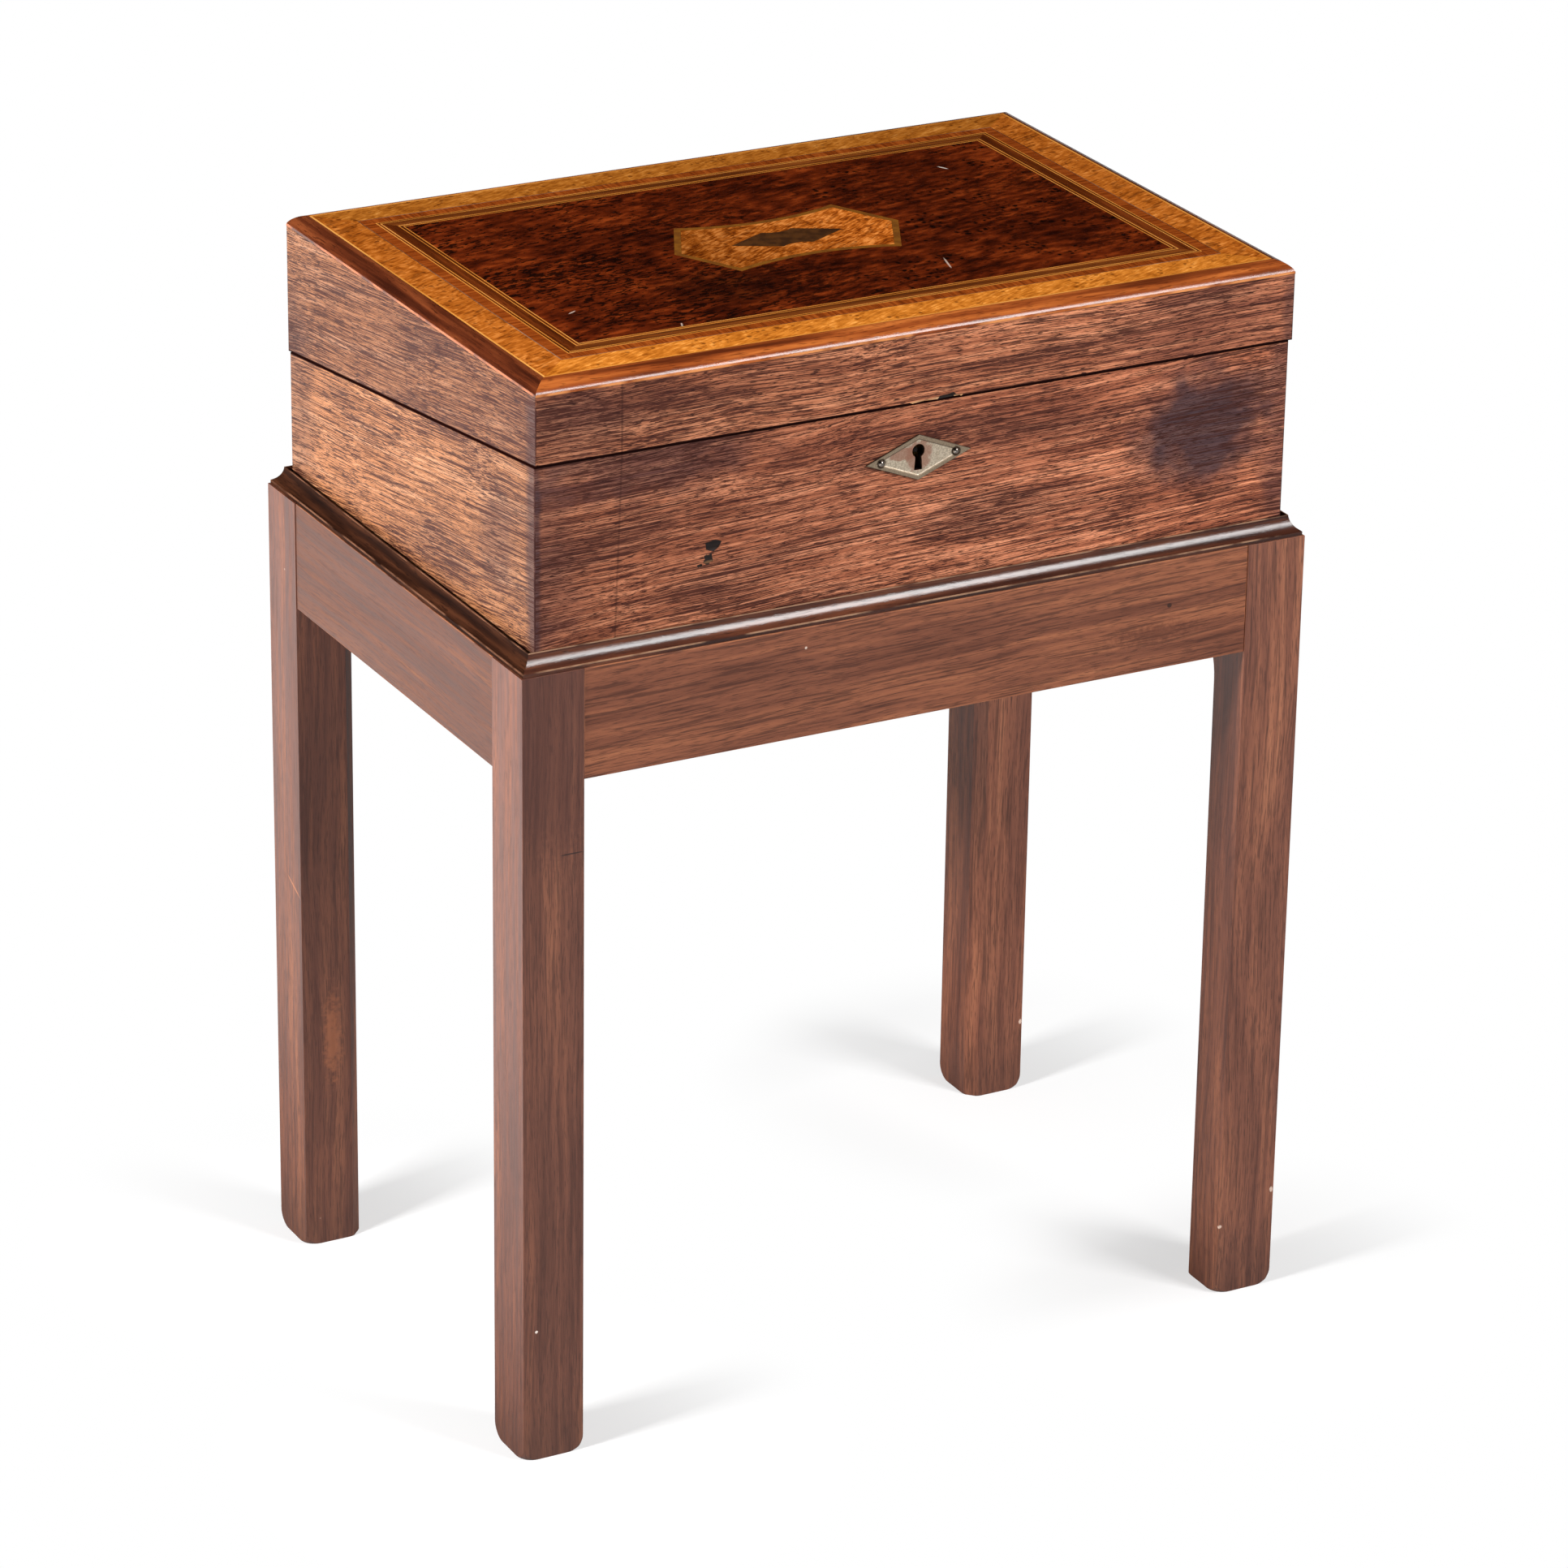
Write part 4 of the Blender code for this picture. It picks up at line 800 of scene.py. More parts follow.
# rosewood boards: painted light grows along X on the fronts and lid and along Y on the sides
rosewoodFront = rosewood("rosewoodFront", (0, 2, 0), 1.16, "X", 1.5, frontPatches, [(-0.1870, 0.037, 0.38)],
    0.32, (1.0, 1.12, 1.36), 0.1)
rosewoodLid = rosewood("rosewoodLid", (0, 0.5, 0), 1.10, "X", 1.4, lidPatches, [(-0.1683, 0.0, 0.5)], 0.32,
    (1.02, 1.17, 1.38), 0.1)
rosewoodSide = rosewood("rosewoodSide", (7, 0, -90), 1.15, "Y", 1.8, sidePatches, (), 0.2,
    (1.0, 1.28, 1.40), 0.1, 0.012)
rosewoodLidSide = rosewood("rosewoodLidSide", (7, 0, -90), 0.77, "Y", 0.5, sidePatches, (), 0.25,
    (1.0, 1.25, 1.45), 0.1, 0.030)
legMarks = [  # the front-left leg's darker top (the let-in repair's own tone and painted shade below the rail), the repair's joint line, chips, a scratch, painted shade on the back-left leg's front face and a flame in the grain
    # the let-in repair's own tone, with painted shade below the rail
    {"at": (-0.2050, standLow.y, 0.400), "size": (0.030, 0.004, 0.066), "tint": (0.06, 0.017, 0.012),
     "strength": 0.5},
    {"at": (-0.1975, standLow.y, 0.3365), "size": (0.0072, 0.01, 0.0004), "tint": (0.02, 0.008, 0.006),
     "strength": 0.9},
    {"at": (-0.2176, standLow.y, 0.0740), "size": (0.0008, 0.002, 0.0008), "tint": (0.80, 0.70, 0.62),
     "strength": 0.9},
    {"at": (0.1918, standLow.y, 0.0408), "size": (0.0013, 0.0012, 0.0010), "tint": (0.62, 0.45, 0.36),
     "strength": 0.9},
    {"at": (0.2236, standLow.y, 0.0565), "size": (0.0010, 0.002, 0.0016), "tint": (0.62, 0.45, 0.36),
     "strength": 0.9},
    {"at": (0.2239, 0.1185, 0.0420), "size": (0.0010, 0.002, 0.0016), "tint": (0.62, 0.45, 0.36),
     "strength": 0.9},
    {"at": (standLow.x, 0.1278, 0.2120), "size": (0.01, 0.0092, 0.0006), "turn": (-26, 0, 0),
     "tint": (0.45, 0.16, 0.06), "strength": 0.8},
    # painted shade on the back-left leg's front face
    {"at": (-0.2040, 0.1185, 0.2100), "size": (0.0500, 0.004, 0.3000), "ragged": 0.2, "core": 0.3,
     "tint": (0.040, 0.012, 0.009), "strength": 0.4},
    {"at": (-0.2080, 0.1185, 0.1220), "size": (0.0060, 0.01, 0.0280), "ragged": 2.0, "core": 0.2,
     "tint": (0.26, 0.085, 0.035), "strength": 0.7},
]
railMarks = [
    {"at": (0.1445, railLow.y, 0.4090), "size": (0.0014, 0.01, 0.0012), "tint": (0.03, 0.012, 0.008),
     "strength": 0.9},
    {"at": (0.1350, railLow.y, 0.3950), "size": (0.0300, 0.01, 0.0060), "ragged": 2.4, "core": 0.1,
     "tint": (0.09, 0.026, 0.014), "strength": 0.6},
]
mahoganyX = mahogany("mahoganyX", (0, 1.5, 0), 0.6, 1.34, railMarks, 0.3, (1.0, 1.10, 1.08))
mahoganyY = mahogany("mahoganyY", alongY, 0.42, 0.69, (), 0.3, (1.0, 1.05, 0.95))
# the legs take painted light, lighter towards the right, and a tint with painted sheen
mahoganyZ = mahogany("mahoganyZ", alongZ, 0.5, 1.09, legMarks, 0.5, (1.03, 1.16, 1.26), 0.45)
mouldingX = polishedEdging("mouldingX", alongX, mouldingTones, 0.21, (0.30, 0.17, 0.10), gloss=0.4)
# the side mouldings: a darker copy with almost no gloss, painted shade
mouldingY = polishedEdging("mouldingY", alongY, sideMouldingTones, 0.6, (0.20, 0.09, 0.05), gloss=0.03)
borderX = polishedEdging("borderX", alongX, frontBorderTones, 0.18, (0.62, 0.24, 0.08), gloss=0.35)
borderY = polishedEdging("borderY", alongY, sideBorderTones, 0.2, (0.46, 0.13, 0.035))
crossbandX = polishedEdging("crossbandX", alongY, crossbandTones, 0.14, across=520)
crossbandY = polishedEdging("crossbandY", alongX, crossbandTones, 0.14, across=520)
darkStripX = polishedEdging("darkStripX", alongX, darkStripTones, 0.14)
darkStripY = polishedEdging("darkStripY", alongY, sideStripTones, 0.14)
boxwoodX = polishedEdging("boxwoodX", alongX, boxwoodTones, 0.14, pits=0.2)
boxwoodY = polishedEdging("boxwoodY", alongY, boxwoodTones, 0.14, pits=0.2)
greyLineX = polishedEdging("greyLineX", alongX, greyLineTones, 0.2)
greyLineY = polishedEdging("greyLineY", alongY, greyLineTones, 0.2)
# burr copies with painted light: brighter towards the front of the band, darker side strips (partly the cross
# grain's colour) and a cartouche field lighter to the right
burr = burrVeneer("burrVeneer", 0.95, (0.0, -1.5), 25, 0.2, contrast=0.85)
burrSide = burrVeneer("burrSide", 0.86, (0.2, -0.3), 25, 0.5, (1.0, 0.86, 0.85), 0.95)
cartoucheBurr = burrVeneer("cartoucheBurr", 0.76, (4.5, 0.0), 30, 0.5, (1.0, 0.80, 0.76), 1.7)
burl = burlVeneer("burlVeneer")
insideX = plainWood("insideX", alongX, insideTones)
insideY = plainWood("insideY", alongY, insideTones)
rawWood = plainWood("rawWood", alongX, rawTones)
darkPit = plainWood("darkPit", alongX, pitTones, 0.12)
paintedHoleShade = plainWood("paintedHoleShade", alongX, holeShadeTones, 0.12)
brass = agedMetal("agedBrass", (0.62, 0.40, 0.13), (0.26, 0.15, 0.05))
dullBrass = agedMetal("dullBrass", (0.30, 0.106, 0.010), (0.20, 0.064, 0.006), 0.35, 160.0, 0.3)
bronze = agedMetal("darkBronze", (0.110, 0.038, 0.008), (0.052, 0.017, 0.004), 0.35, 160.0, 0.3)
nickel = wornNickel("wornNickel")
pinNickel = agedMetal("pinNickel", (0.36, 0.32, 0.28), (0.15, 0.12, 0.10), 0.2, 900.0)
steel = agedMetal("dullSteel", (0.40, 0.38, 0.36), (0.18, 0.15, 0.13))
print("surfaces made:", len(bpy.data.materials))


# Stand
legLook = {"chamfer": 0.006, "runout": 0.020, "below rail": 0.005, "ease": 0.0009, "foot corner": 0.0090}


def roundFoot(leg):  # takes the corners off the end of a square leg
    pickFaces(leg, lambda centre, normal: normal.z < -0.9)
    bpy.ops.mesh.select_mode(type="VERT")
    bpy.ops.mesh.bevel(
        offset=legLook["foot corner"], offset_type="OFFSET", segments=8, profile=0.5,
        affect="VERTICES", clamp_overlap=False,
    )
    bpy.ops.object.mode_set(mode="OBJECT")


def makeLeg(name):
    low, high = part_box("leg_front_left")
    leg = addBlock(name, low, high)
    roundFoot(leg)
    depth = legLook["chamfer"] / math.sqrt(2)
    radius = (legLook["runout"] ** 2 + depth ** 2) / (2 * depth)  # round stop of the chamfer
    stop = railLow.z - legLook["below rail"] - legLook["runout"]
    cutter = addBlock("chamferCutter", (0, -radius, -radius), (2 * radius, radius, stop + radius))
    roundEdges(cutter, radius, 20, lambda middle, way: middle.x < 1e-5 and middle.z > stop)
    cutter.location = Vector((high.x - legLook["chamfer"] / 2, high.y - legLook["chamfer"] / 2, 0))
    cutter.rotation_euler.z = math.pi / 4
    cutBy(leg, cutter)
    easeEdges(leg, legLook["ease"], 3, 28)
    return leg


def standLegs():
    corners = (("front", "left", 0), ("front", "right", 1), ("back", "right", 2), ("back", "left", 3))
    first = makeLeg("legFrontLeft")
    middle = (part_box("leg_front_left")[0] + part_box("leg_front_left")[1]) / 2
    copies = [first]
    for depth, side, turns in corners[1:]:
        copy = first.copy()
        copy.data = first.data.copy()
        copy.name = copy.data.name = "leg" + depth.title() + side.title()
        bpy.context.scene.collection.objects.link(copy)
        copies.append(copy)
    for leg, (depth, side, turns) in zip(copies, corners):
        node = f"leg_{depth}_{side}"
        there = (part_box(node)[0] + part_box(node)[1]) / 2
        spin = Quaternion((0, 0, 1), turns * math.pi / 2)
        leg.rotation_euler.z = turns * math.pi / 2
        leg.location = there - spin @ middle
        settle(leg)
        inner = spin @ Vector((1, 1, 0))
        dress(leg, "stand", "mahogany", mahoganyZ, node, flats=[inner], above=legLook["foot corner"])


def standRails():
    legs = {name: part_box("leg_" + name) for name in ("front_left", "front_right", "back_left")}
    spans = {"x": (legs["front_left"][1].x, legs["front_right"][0].x),
             "y": (legs["front_left"][1].y, legs["back_left"][0].y)}
    joint = 0.0001
    for side in quarterTurns:
        low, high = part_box("rail_" + side)
        axis = "x" if side in ("front", "back") else "y"
        setattr(low, axis, spans[axis][0] + joint)
        setattr(high, axis, spans[axis][1] - joint)
        rail = addBlock("rail" + side.title(), low, high)
        easeEdges(rail, 0.0005, 2)
        dress(rail, "stand", "mahogany", mahoganyX if axis == "x" else mahoganyY, "rail_" + side)


mouldingLook = {"edge": 0.0022, "ease": 0.0006, "lip": 0.0015, "lip width": 0.0010, "hollow": 0.0100,
    "round": 0.0005}


def hollowCentre(start, end, radius):  # middle of the shallow hollow between two points of a profile
    chord = end - start
    aside = Vector((-chord.y, chord.x)).normalized()
    return (start + end) / 2 + aside * math.sqrt(radius ** 2 - (chord.length / 2) ** 2)


def standMouldings():
    low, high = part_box("moulding_left")[0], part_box("moulding_right")[1]
    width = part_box("moulding_front")[1].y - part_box("moulding_front")[0].y
    look = mouldingLook
    tall = high.z - low.z
    lower = Vector((look["ease"], look["edge"]))
    upper = Vector((width - look["lip width"], tall - look["lip"]))
    centre = hollowCentre(lower, upper, look["hollow"])
    lowerEdge = centre.y - math.sqrt(look["hollow"] ** 2 - centre.x ** 2)
    upperEdge = centre.x + math.sqrt(look["hollow"] ** 2 - (tall - centre.y) ** 2)
    for side in quarterTurns:
        length, reach = sideSize(low, high, side)
        strip = addBlock("moulding" + side.title(), (-length / 2, -reach, low.z),
            (length / 2, -reach + width, high.z))
        bpy.ops.object.select_all(action="DESELECT")
        bpy.ops.mesh.primitive_cylinder_add(
            vertices=160, radius=look["hollow"], depth=length * 1.2,
            location=(0, -reach + centre.x, low.z + centre.y), rotation=(0, math.pi / 2, 0),
        )
        cutBy(strip, settle(named("hollowCutter")))
        at = lambda m, y, z: abs(m.y + reach - y) < 1e-4 and abs(m.z - low.z - z) < 1e-4
        edges = lambda m, w: abs(w.x) > 0.05 and (at(m, 0, lowerEdge) or at(m, upperEdge, tall))
        roundEdges(strip, look["round"], 3, edges)
        cutMitres(strip, length, reach)
        near = lambda c, y, z: math.hypot(c.y + reach - y, c.z - low.z - z) < look["round"] * 0.8
        markFaces(strip, lambda c, n: near(c, 0, lowerEdge) or near(c, upperEdge, tall))
        turnToSide(strip, low, high, side)
        surface = mouldingX if side in ("front", "back") else mouldingY
        dress(strip, "stand", "moulding", surface, "moulding_" + side, smooth=40)


standLegs()
standRails()
standMouldings()
print("stand made")


# Desk: walls of the base and of the lid, parted by the slanting cut
wallLook = {
    "arris": 0.0007,
    "ease": 0.0004,
    "fit": 0.0002,  # room round a let-in fitting
    "flakes": [(-0.1164, 0.4834, 0.0042, 0.0030), (-0.1191, 0.4770, 0.0026, 0.0026),
               (-0.1240, 0.4740, 0.0015, 0.0010)],  # X, Z, width and height
    "flake depth": 0.0006,
    "chips": [(0.001, 0.0100, 0.0014, rawWood), (0.0125, 0.0060, 0.0026, darkPit),
              (0.0185, 0.0030, 0.0012, rawWood)],  # X, width, height and what shows inside
    "chip depth": 0.0016,
}
hingeSeatLook = {"thick": 0.0018, "side room": 0.0001, "past axis": 0.003}


def makeWall(name, low, high, side, thick):
    length, reach = sideSize(low, high, side)
    wall = addBlock(name, (-length / 2, -reach, low.z), (length / 2, -reach + thick, high.z))
    roundEdges(wall, wallLook["arris"], 3, lambda m, w: m.y < -reach + 1e-5 and abs(w.z) > 0.01)
    cutMitres(wall, length, reach)
    return turnToSide(wall, low, high, side)


def outerRim(piece, low, high, level):  # rounds the long outer edges near a level
    outside = lambda m: (
        abs(m.x - low.x) < 1e-4 or abs(m.x - high.x) < 1e-4
        or abs(m.y - low.y) < 1e-4 or abs(m.y - high.y) < 1e-4
    )
    lying = lambda w: w.length > 0.05 and abs(w.z) < w.length / 2
    roundEdges(piece, wallLook["ease"], 2, lambda m, w: outside(m) and lying(w) and level(m))


def hingeSeat(which):  # a block along the cut, to let a hinge leaf into its wall
    look = hingeSeatLook
    sign = -1 if which == "base" else 1
    seats = []
    for side in ("left", "right"):
        low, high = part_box(f"hinge_{side}_{which}_leaf")
        reach = hingeAxis.y - low.y
        span = sorted((0.0, sign * look["thick"]))
        start = (low.x - look["side room"], -reach, span[0])
        seat = addBlock("seat", start, (high.x + look["side room"], look["past axis"], span[1]))
        seat.location = (0, hingeAxis.y, hingeAxis.z)
        seat.rotation_euler.x = -math.atan(cutRise)
        seats.append(seat)
    return seats


keyholeLook = {"eye": 0.0035, "slot": 0.0031, "flare": 1.45, "height": 0.0136}


def keyholeCutter(front, back, surface=None):  # a round eye and a slot that widens downwards
    look = keyholeLook
    bottom = keyholeZ - look["height"] / 2
    eyeZ = keyholeZ + look["height"] / 2 - look["eye"]
    bpy.ops.object.select_all(action="DESELECT")
    bpy.ops.mesh.primitive_cylinder_add(
        vertices=40, radius=look["eye"], depth=back - front,
        location=(keyholeX, (front + back) / 2, eyeZ), rotation=(math.pi / 2, 0, 0),
    )
    eye = settle(named("keyholeEye"))
    half = look["slot"] / 2
    slot = addBlock("keyholeSlot", (keyholeX - half, front, bottom), (keyholeX + half, back, eyeZ))
    pickFaces(slot, lambda c, n: n.z < -0.9)
    bpy.ops.transform.resize(value=(look["flare"], 1, 1), center_override=(keyholeX, 0, bottom))
    bpy.ops.object.mode_set(mode="OBJECT")
    for cutter in (eye, slot):
        if surface:
            cutter.data.materials.append(surface)
    return [eye, slot]


def chipCutter(name, place, size, seed, surface):
    bpy.ops.object.select_all(action="DESELECT")
    bpy.ops.mesh.primitive_ico_sphere_add(subdivisions=2, radius=1, location=place)
    chip = named(name)
    bpy.ops.object.mode_set(mode="EDIT")
    bpy.ops.mesh.select_all(action="SELECT")
    bpy.ops.transform.vertex_random(offset=0.30, normal=1.0, seed=seed)
    bpy.ops.object.mode_set(mode="OBJECT")
    chip.scale = size
    settle(chip)
    chip.data.materials.append(surface)
    return chip


def lineInside(wall, side):  # plain wood on the faces that look into the desk
    inward = Quaternion((0, 0, 1), quarterTurns[side] * math.pi / 2) @ Vector((0, 1, 0))
    wall.data.materials.append(insideX if side in ("front", "back") else insideY)
    for face in wall.data.polygons:
        if face.material_index == 0 and face.normal.dot(inward) > 0.9:
            face.material_index = len(wall.data.materials) - 1


def deskWalls():
    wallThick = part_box("base_front")[1].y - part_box("base_front")[0].y
    fit = wallLook["fit"]
    lockLow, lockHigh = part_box("lock_case")
    low = Vector((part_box("base_left")[0].x, baseLow.y, baseLow.z))
    high = Vector((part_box("base_right")[1].x, baseHigh.y, cutFrontZ + 0.01))
    for side in quarterTurns:
        wall = makeWall("base" + side.title(), low, high, side, wallThick)
        sliceOff(wall, cutPoint, cutNormal)
        outerRim(wall, low, high, lambda m: m.z > baseLow.z + 0.02)
        surface = rosewoodFront if side in ("front", "back") else rosewoodSide
        wall.data.materials.append(surface)
        if side == "front":
            # the keyhole's walls take the painted shade
            for cutter in keyholeCutter(baseLow.y - 0.005, lockLow.y + fit, paintedHoleShade):
                cutBy(wall, cutter)
            cutBy(wall, addBlock("lockSeat", lockLow - Vector((fit,) * 3),
                lockHigh + Vector((fit, 0.005, 0.005))))
            for number, (x, z, wide, tall) in enumerate(wallLook["flakes"]):
                size = (wide, wallLook["flake depth"], tall)
                cutBy(wall, chipCutter("flake", (x, baseLow.y, z), size, number + 1, darkPit))
        if side == "back":
            for seat in hingeSeat("base"):
                cutBy(wall, seat)
        lineInside(wall, side)
        dress(wall, "desk", "rosewood", surface, "base_" + side)


def lidWalls():
    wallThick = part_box("lid_front")[1].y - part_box("lid_front")[0].y
    low = Vector((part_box("lid_left")[0].x, lidLow.y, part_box("lid_back")[0].z - 0.02))
    high = Vector((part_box("lid_right")[1].x, lidHigh.y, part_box("lid_front")[1].z))
    fit = wallLook["fit"]
    linkLow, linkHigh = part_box("link_plate")
    for side in quarterTurns:
        wall = makeWall("lid" + side.title(), low, high, side, wallThick)
        sliceOff(wall, cutPoint + Vector((0, 0, lidGap)), -cutNormal)
        outerRim(wall, low, high, lambda m: m.z < high.z - 0.01)
        surface = rosewoodLid if side in ("front", "back") else rosewoodLidSide
        wall.data.materials.append(surface)
        if side == "front":
            start = (linkLow.x - fit, linkLow.y - fit, linkHigh.z - 0.006)
            cutBy(wall, addBlock("linkSeat", start, linkHigh + Vector((fit,) * 3)))
            edge = cutFrontZ + lidGap + cutRise * (baseLow.y - lidLow.y)
            for number, (x, wide, tall, inside) in enumerate(wallLook["chips"]):
                size = (wide, wallLook["chip depth"], tall)
                cutBy(wall, chipCutter("chip", (x, lidLow.y, edge), size, number + 11, inside))
        if side == "back":
            for seat in hingeSeat("lid"):
                cutBy(wall, seat)
        lineInside(wall, side)
        dress(wall, "lid", "rosewood", surface, "lid_" + side)


deskWalls()
lidWalls()
print("walls made")


# Top of the lid
topLook = {"border profile": 0.40, "border bevel": 90, "border ease": 0.0006, "worn edge": 0.0013}


def topBorder():
    low = Vector((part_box("border_left")[0].x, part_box("border_front")[0].y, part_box("border_front")[0].z))
    high = Vector((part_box("border_right")[1].x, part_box("border_back")[1].y, topZ))
    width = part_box("border_front")[1].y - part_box("border_front")[0].y
    for side in quarterTurns:
        length, reach = sideSize(low, high, side)
        strip = addBlock("border" + side.title(), (-length / 2, -reach, low.z),
            (length / 2, -reach + width, high.z))
        upper = lambda m, w: m.y < -reach + 1e-5 and m.z > high.z - 1e-5
        roundEdges(strip, topLook["border bevel"], 10, upper, topLook["border profile"], "PERCENT")
        lower = lambda m, w: abs(m.y + reach) < 1e-5 and abs(w.x) > 0.05 and m.z > low.z + 1e-5
        roundEdges(strip, topLook["border ease"], 3, lower)
        cutMitres(strip, length, reach)
        markFaces(strip, lambda c, n: c.z < low.z + topLook["worn edge"] and n.y < -0.5)
        turnToSide(strip, low, high, side)
        surface = borderX if side in ("front", "back") else borderY
        dress(strip, "lid", "border", surface, "border_" + side, smooth=50)


def inlaidFrame(name, low, high, width, surfaces):  # four mitred strips round a rectangle
    bpy.ops.object.select_all(action="DESELECT")
    bpy.ops.mesh.primitive_plane_add(size=1, location=((low.x + high.x) / 2, (low.y + high.y) / 2, topZ))
    strip = named(name)
    strip.scale = (high.x - low.x, high.y - low.y, 1)
    settle(strip)
    bpy.context.tool_settings.mesh_select_mode = (False, False, True)
    bpy.ops.object.mode_set(mode="EDIT")
    bpy.ops.mesh.select_all(action="SELECT")
    bpy.ops.mesh.inset(thickness=width)
    bpy.ops.mesh.delete(type="FACE")
    bpy.ops.mesh.select_all(action="SELECT")
    bpy.ops.mesh.extrude_region_move(TRANSFORM_OT_translate={"value": (0, 0, -veneer)})
    bpy.ops.mesh.select_all(action="SELECT")
    bpy.ops.mesh.normals_make_consistent(inside=False)
    bpy.ops.object.mode_set(mode="OBJECT")
    for surface in surfaces:
        strip.data.materials.append(surface)
    for face in strip.data.polygons:
        spare = (abs(face.center.x - (low.x + high.x) / 2) - (high.x - low.x) / 2,
                 abs(face.center.y - (low.y + high.y) / 2) - (high.y - low.y) / 2)
        face.material_index = 0 if spare[1] > spare[0] else len(surfaces) - 1
    return strip


def nestedFrames(name, low, high, layers):  # frames inside each other, from the outside in
    made = []
    for width, surfaces in layers:
        made.append(inlaidFrame(name, low, high, width, surfaces))
        step = Vector((width, width, 0))
        low, high = low + step, high - step
    return joined(made, name) if len(made) > 1 else made[0]


def hollowPlate(name, long, corner, waist, inset, low, high):
    cornerX, cornerY = corner
    middle = Vector((0, (lidLow.y + lidHigh.y) / 2, 0))
    plate = addBlock(name, middle + Vector((-long, -cornerY, low)), middle + Vector((long, cornerY, high)))
    slope = Vector((cornerY, long - cornerX, 0)).normalized()  # faces of the pointed ends
    for sx in (-1, 1):
        for sy in (-1, 1):
            normal = Vector((slope.x * sx, slope.y * sy, 0))
            sliceOff(plate, middle + Vector((long * sx, 0, 0)) - normal * inset, normal)
    sag = cornerY - waist
    radius = (cornerX ** 2 + sag ** 2) / (2 * sag)
    for sy in (-1, 1):
        bpy.ops.object.select_all(action="DESELECT")
        bpy.ops.mesh.primitive_cylinder_add(
            vertices=256, radius=radius + inset, depth=0.02,
            location=middle + Vector((0, sy * (waist + radius), (low + high) / 2)),
        )
        cutBy(plate, settle(named("waistCutter")))
    return plate


cartoucheLook = {"long": 0.065, "corner": (0.046, 0.038), "waist": 0.0294, "band": 0.0036}
plaqueLook = {"long": 0.0324, "corner": (0.0085, 0.0124), "waist": 0.0096}


def topInlay():
    light, dark, thin = (boxwoodX, boxwoodY), (darkStripX, darkStripY), 0.0006
    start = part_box("border_front")[1].y - lidLow.y  # where the border ends
    low = Vector((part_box("lid_left")[0].x + start, lidLow.y + start, 0))
    high = Vector((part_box("lid_right")[1].x - start, lidHigh.y - start, 0))
    widths = {}
    edge = low.y
    for node, inner in (("outer_stringing", "burr_band"), ("burr_band", "crossband"),
                        ("crossband", "inner_stringing"), ("inner_stringing", "burl_panel")):
        widths[node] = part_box(inner)[0].y - edge
        edge += widths[node]
    layers = {
        "outer_stringing": [(widths["outer_stringing"], light)],
        "burr_band": [(widths["burr_band"], (burr, burrSide))],
        "crossband": [(0.0005, (greyLineX, greyLineY)),
            (widths["crossband"] - 0.0005, (crossbandX, crossbandY))],
        "inner_stringing": [(thin, light), (0.0012, dark), (thin, light),
            (widths["inner_stringing"] - 0.0050, dark),
                            (thin, light), (0.0014, dark), (thin, light)],
    }
    slots = {"outer_stringing": "boxwood", "burr_band": "burr", "crossband": "crossband",
        "inner_stringing": "boxwood"}
    for node, rings in layers.items():
        words = node.split("_")
        strip = nestedFrames(words[0] + "".join(w.title() for w in words[1:]), low, high, rings)
        dress(strip, "lid", slots[node], None, node)
        step = Vector((widths[node], widths[node], 0))
        low, high = low + step, high - step
    bottom = topZ - veneer
    look = cartoucheLook
    whole = (look["long"], look["corner"], look["waist"])
    small = (plaqueLook["long"], plaqueLook["corner"], plaqueLook["waist"])
    panel = addBlock("burlPanel", low + Vector((0, 0, bottom)), high + Vector((0, 0, topZ)))
    cutBy(panel, hollowPlate("hole", *whole, 0.0, bottom - 0.001, topZ + 0.001))
    dress(panel, "lid", "burl", burl, "burl_panel")
    band = hollowPlate("cartoucheBorder", *whole, 0.00005, bottom, topZ)
    cutBy(band, hollowPlate("hole", *whole, look["band"], bottom - 0.001, topZ + 0.001))
    dress(band, "lid", "bronze", dullBrass, "cartouche_border")
    field = hollowPlate("cartoucheField", *whole, look["band"] + 0.00005, bottom, topZ)
    cutBy(field, hollowPlate("hole", *small, 0.0, bottom - 0.001, topZ + 0.001))
    dress(field, "lid", "burr", cartoucheBurr, "cartouche_field")
    plaque = hollowPlate("cartouchePlaque", *small, 0.00005, bottom, topZ)
    dress(plaque, "lid", "bronze", bronze, "cartouche_plaque")


topBorder()
topInlay()
print("lid top made")


# Escutcheon and its pins
escutcheonLook = {"rim": 0.0020, "slope": 0.0006, "dish": 0.00045, "ease": 0.0003}


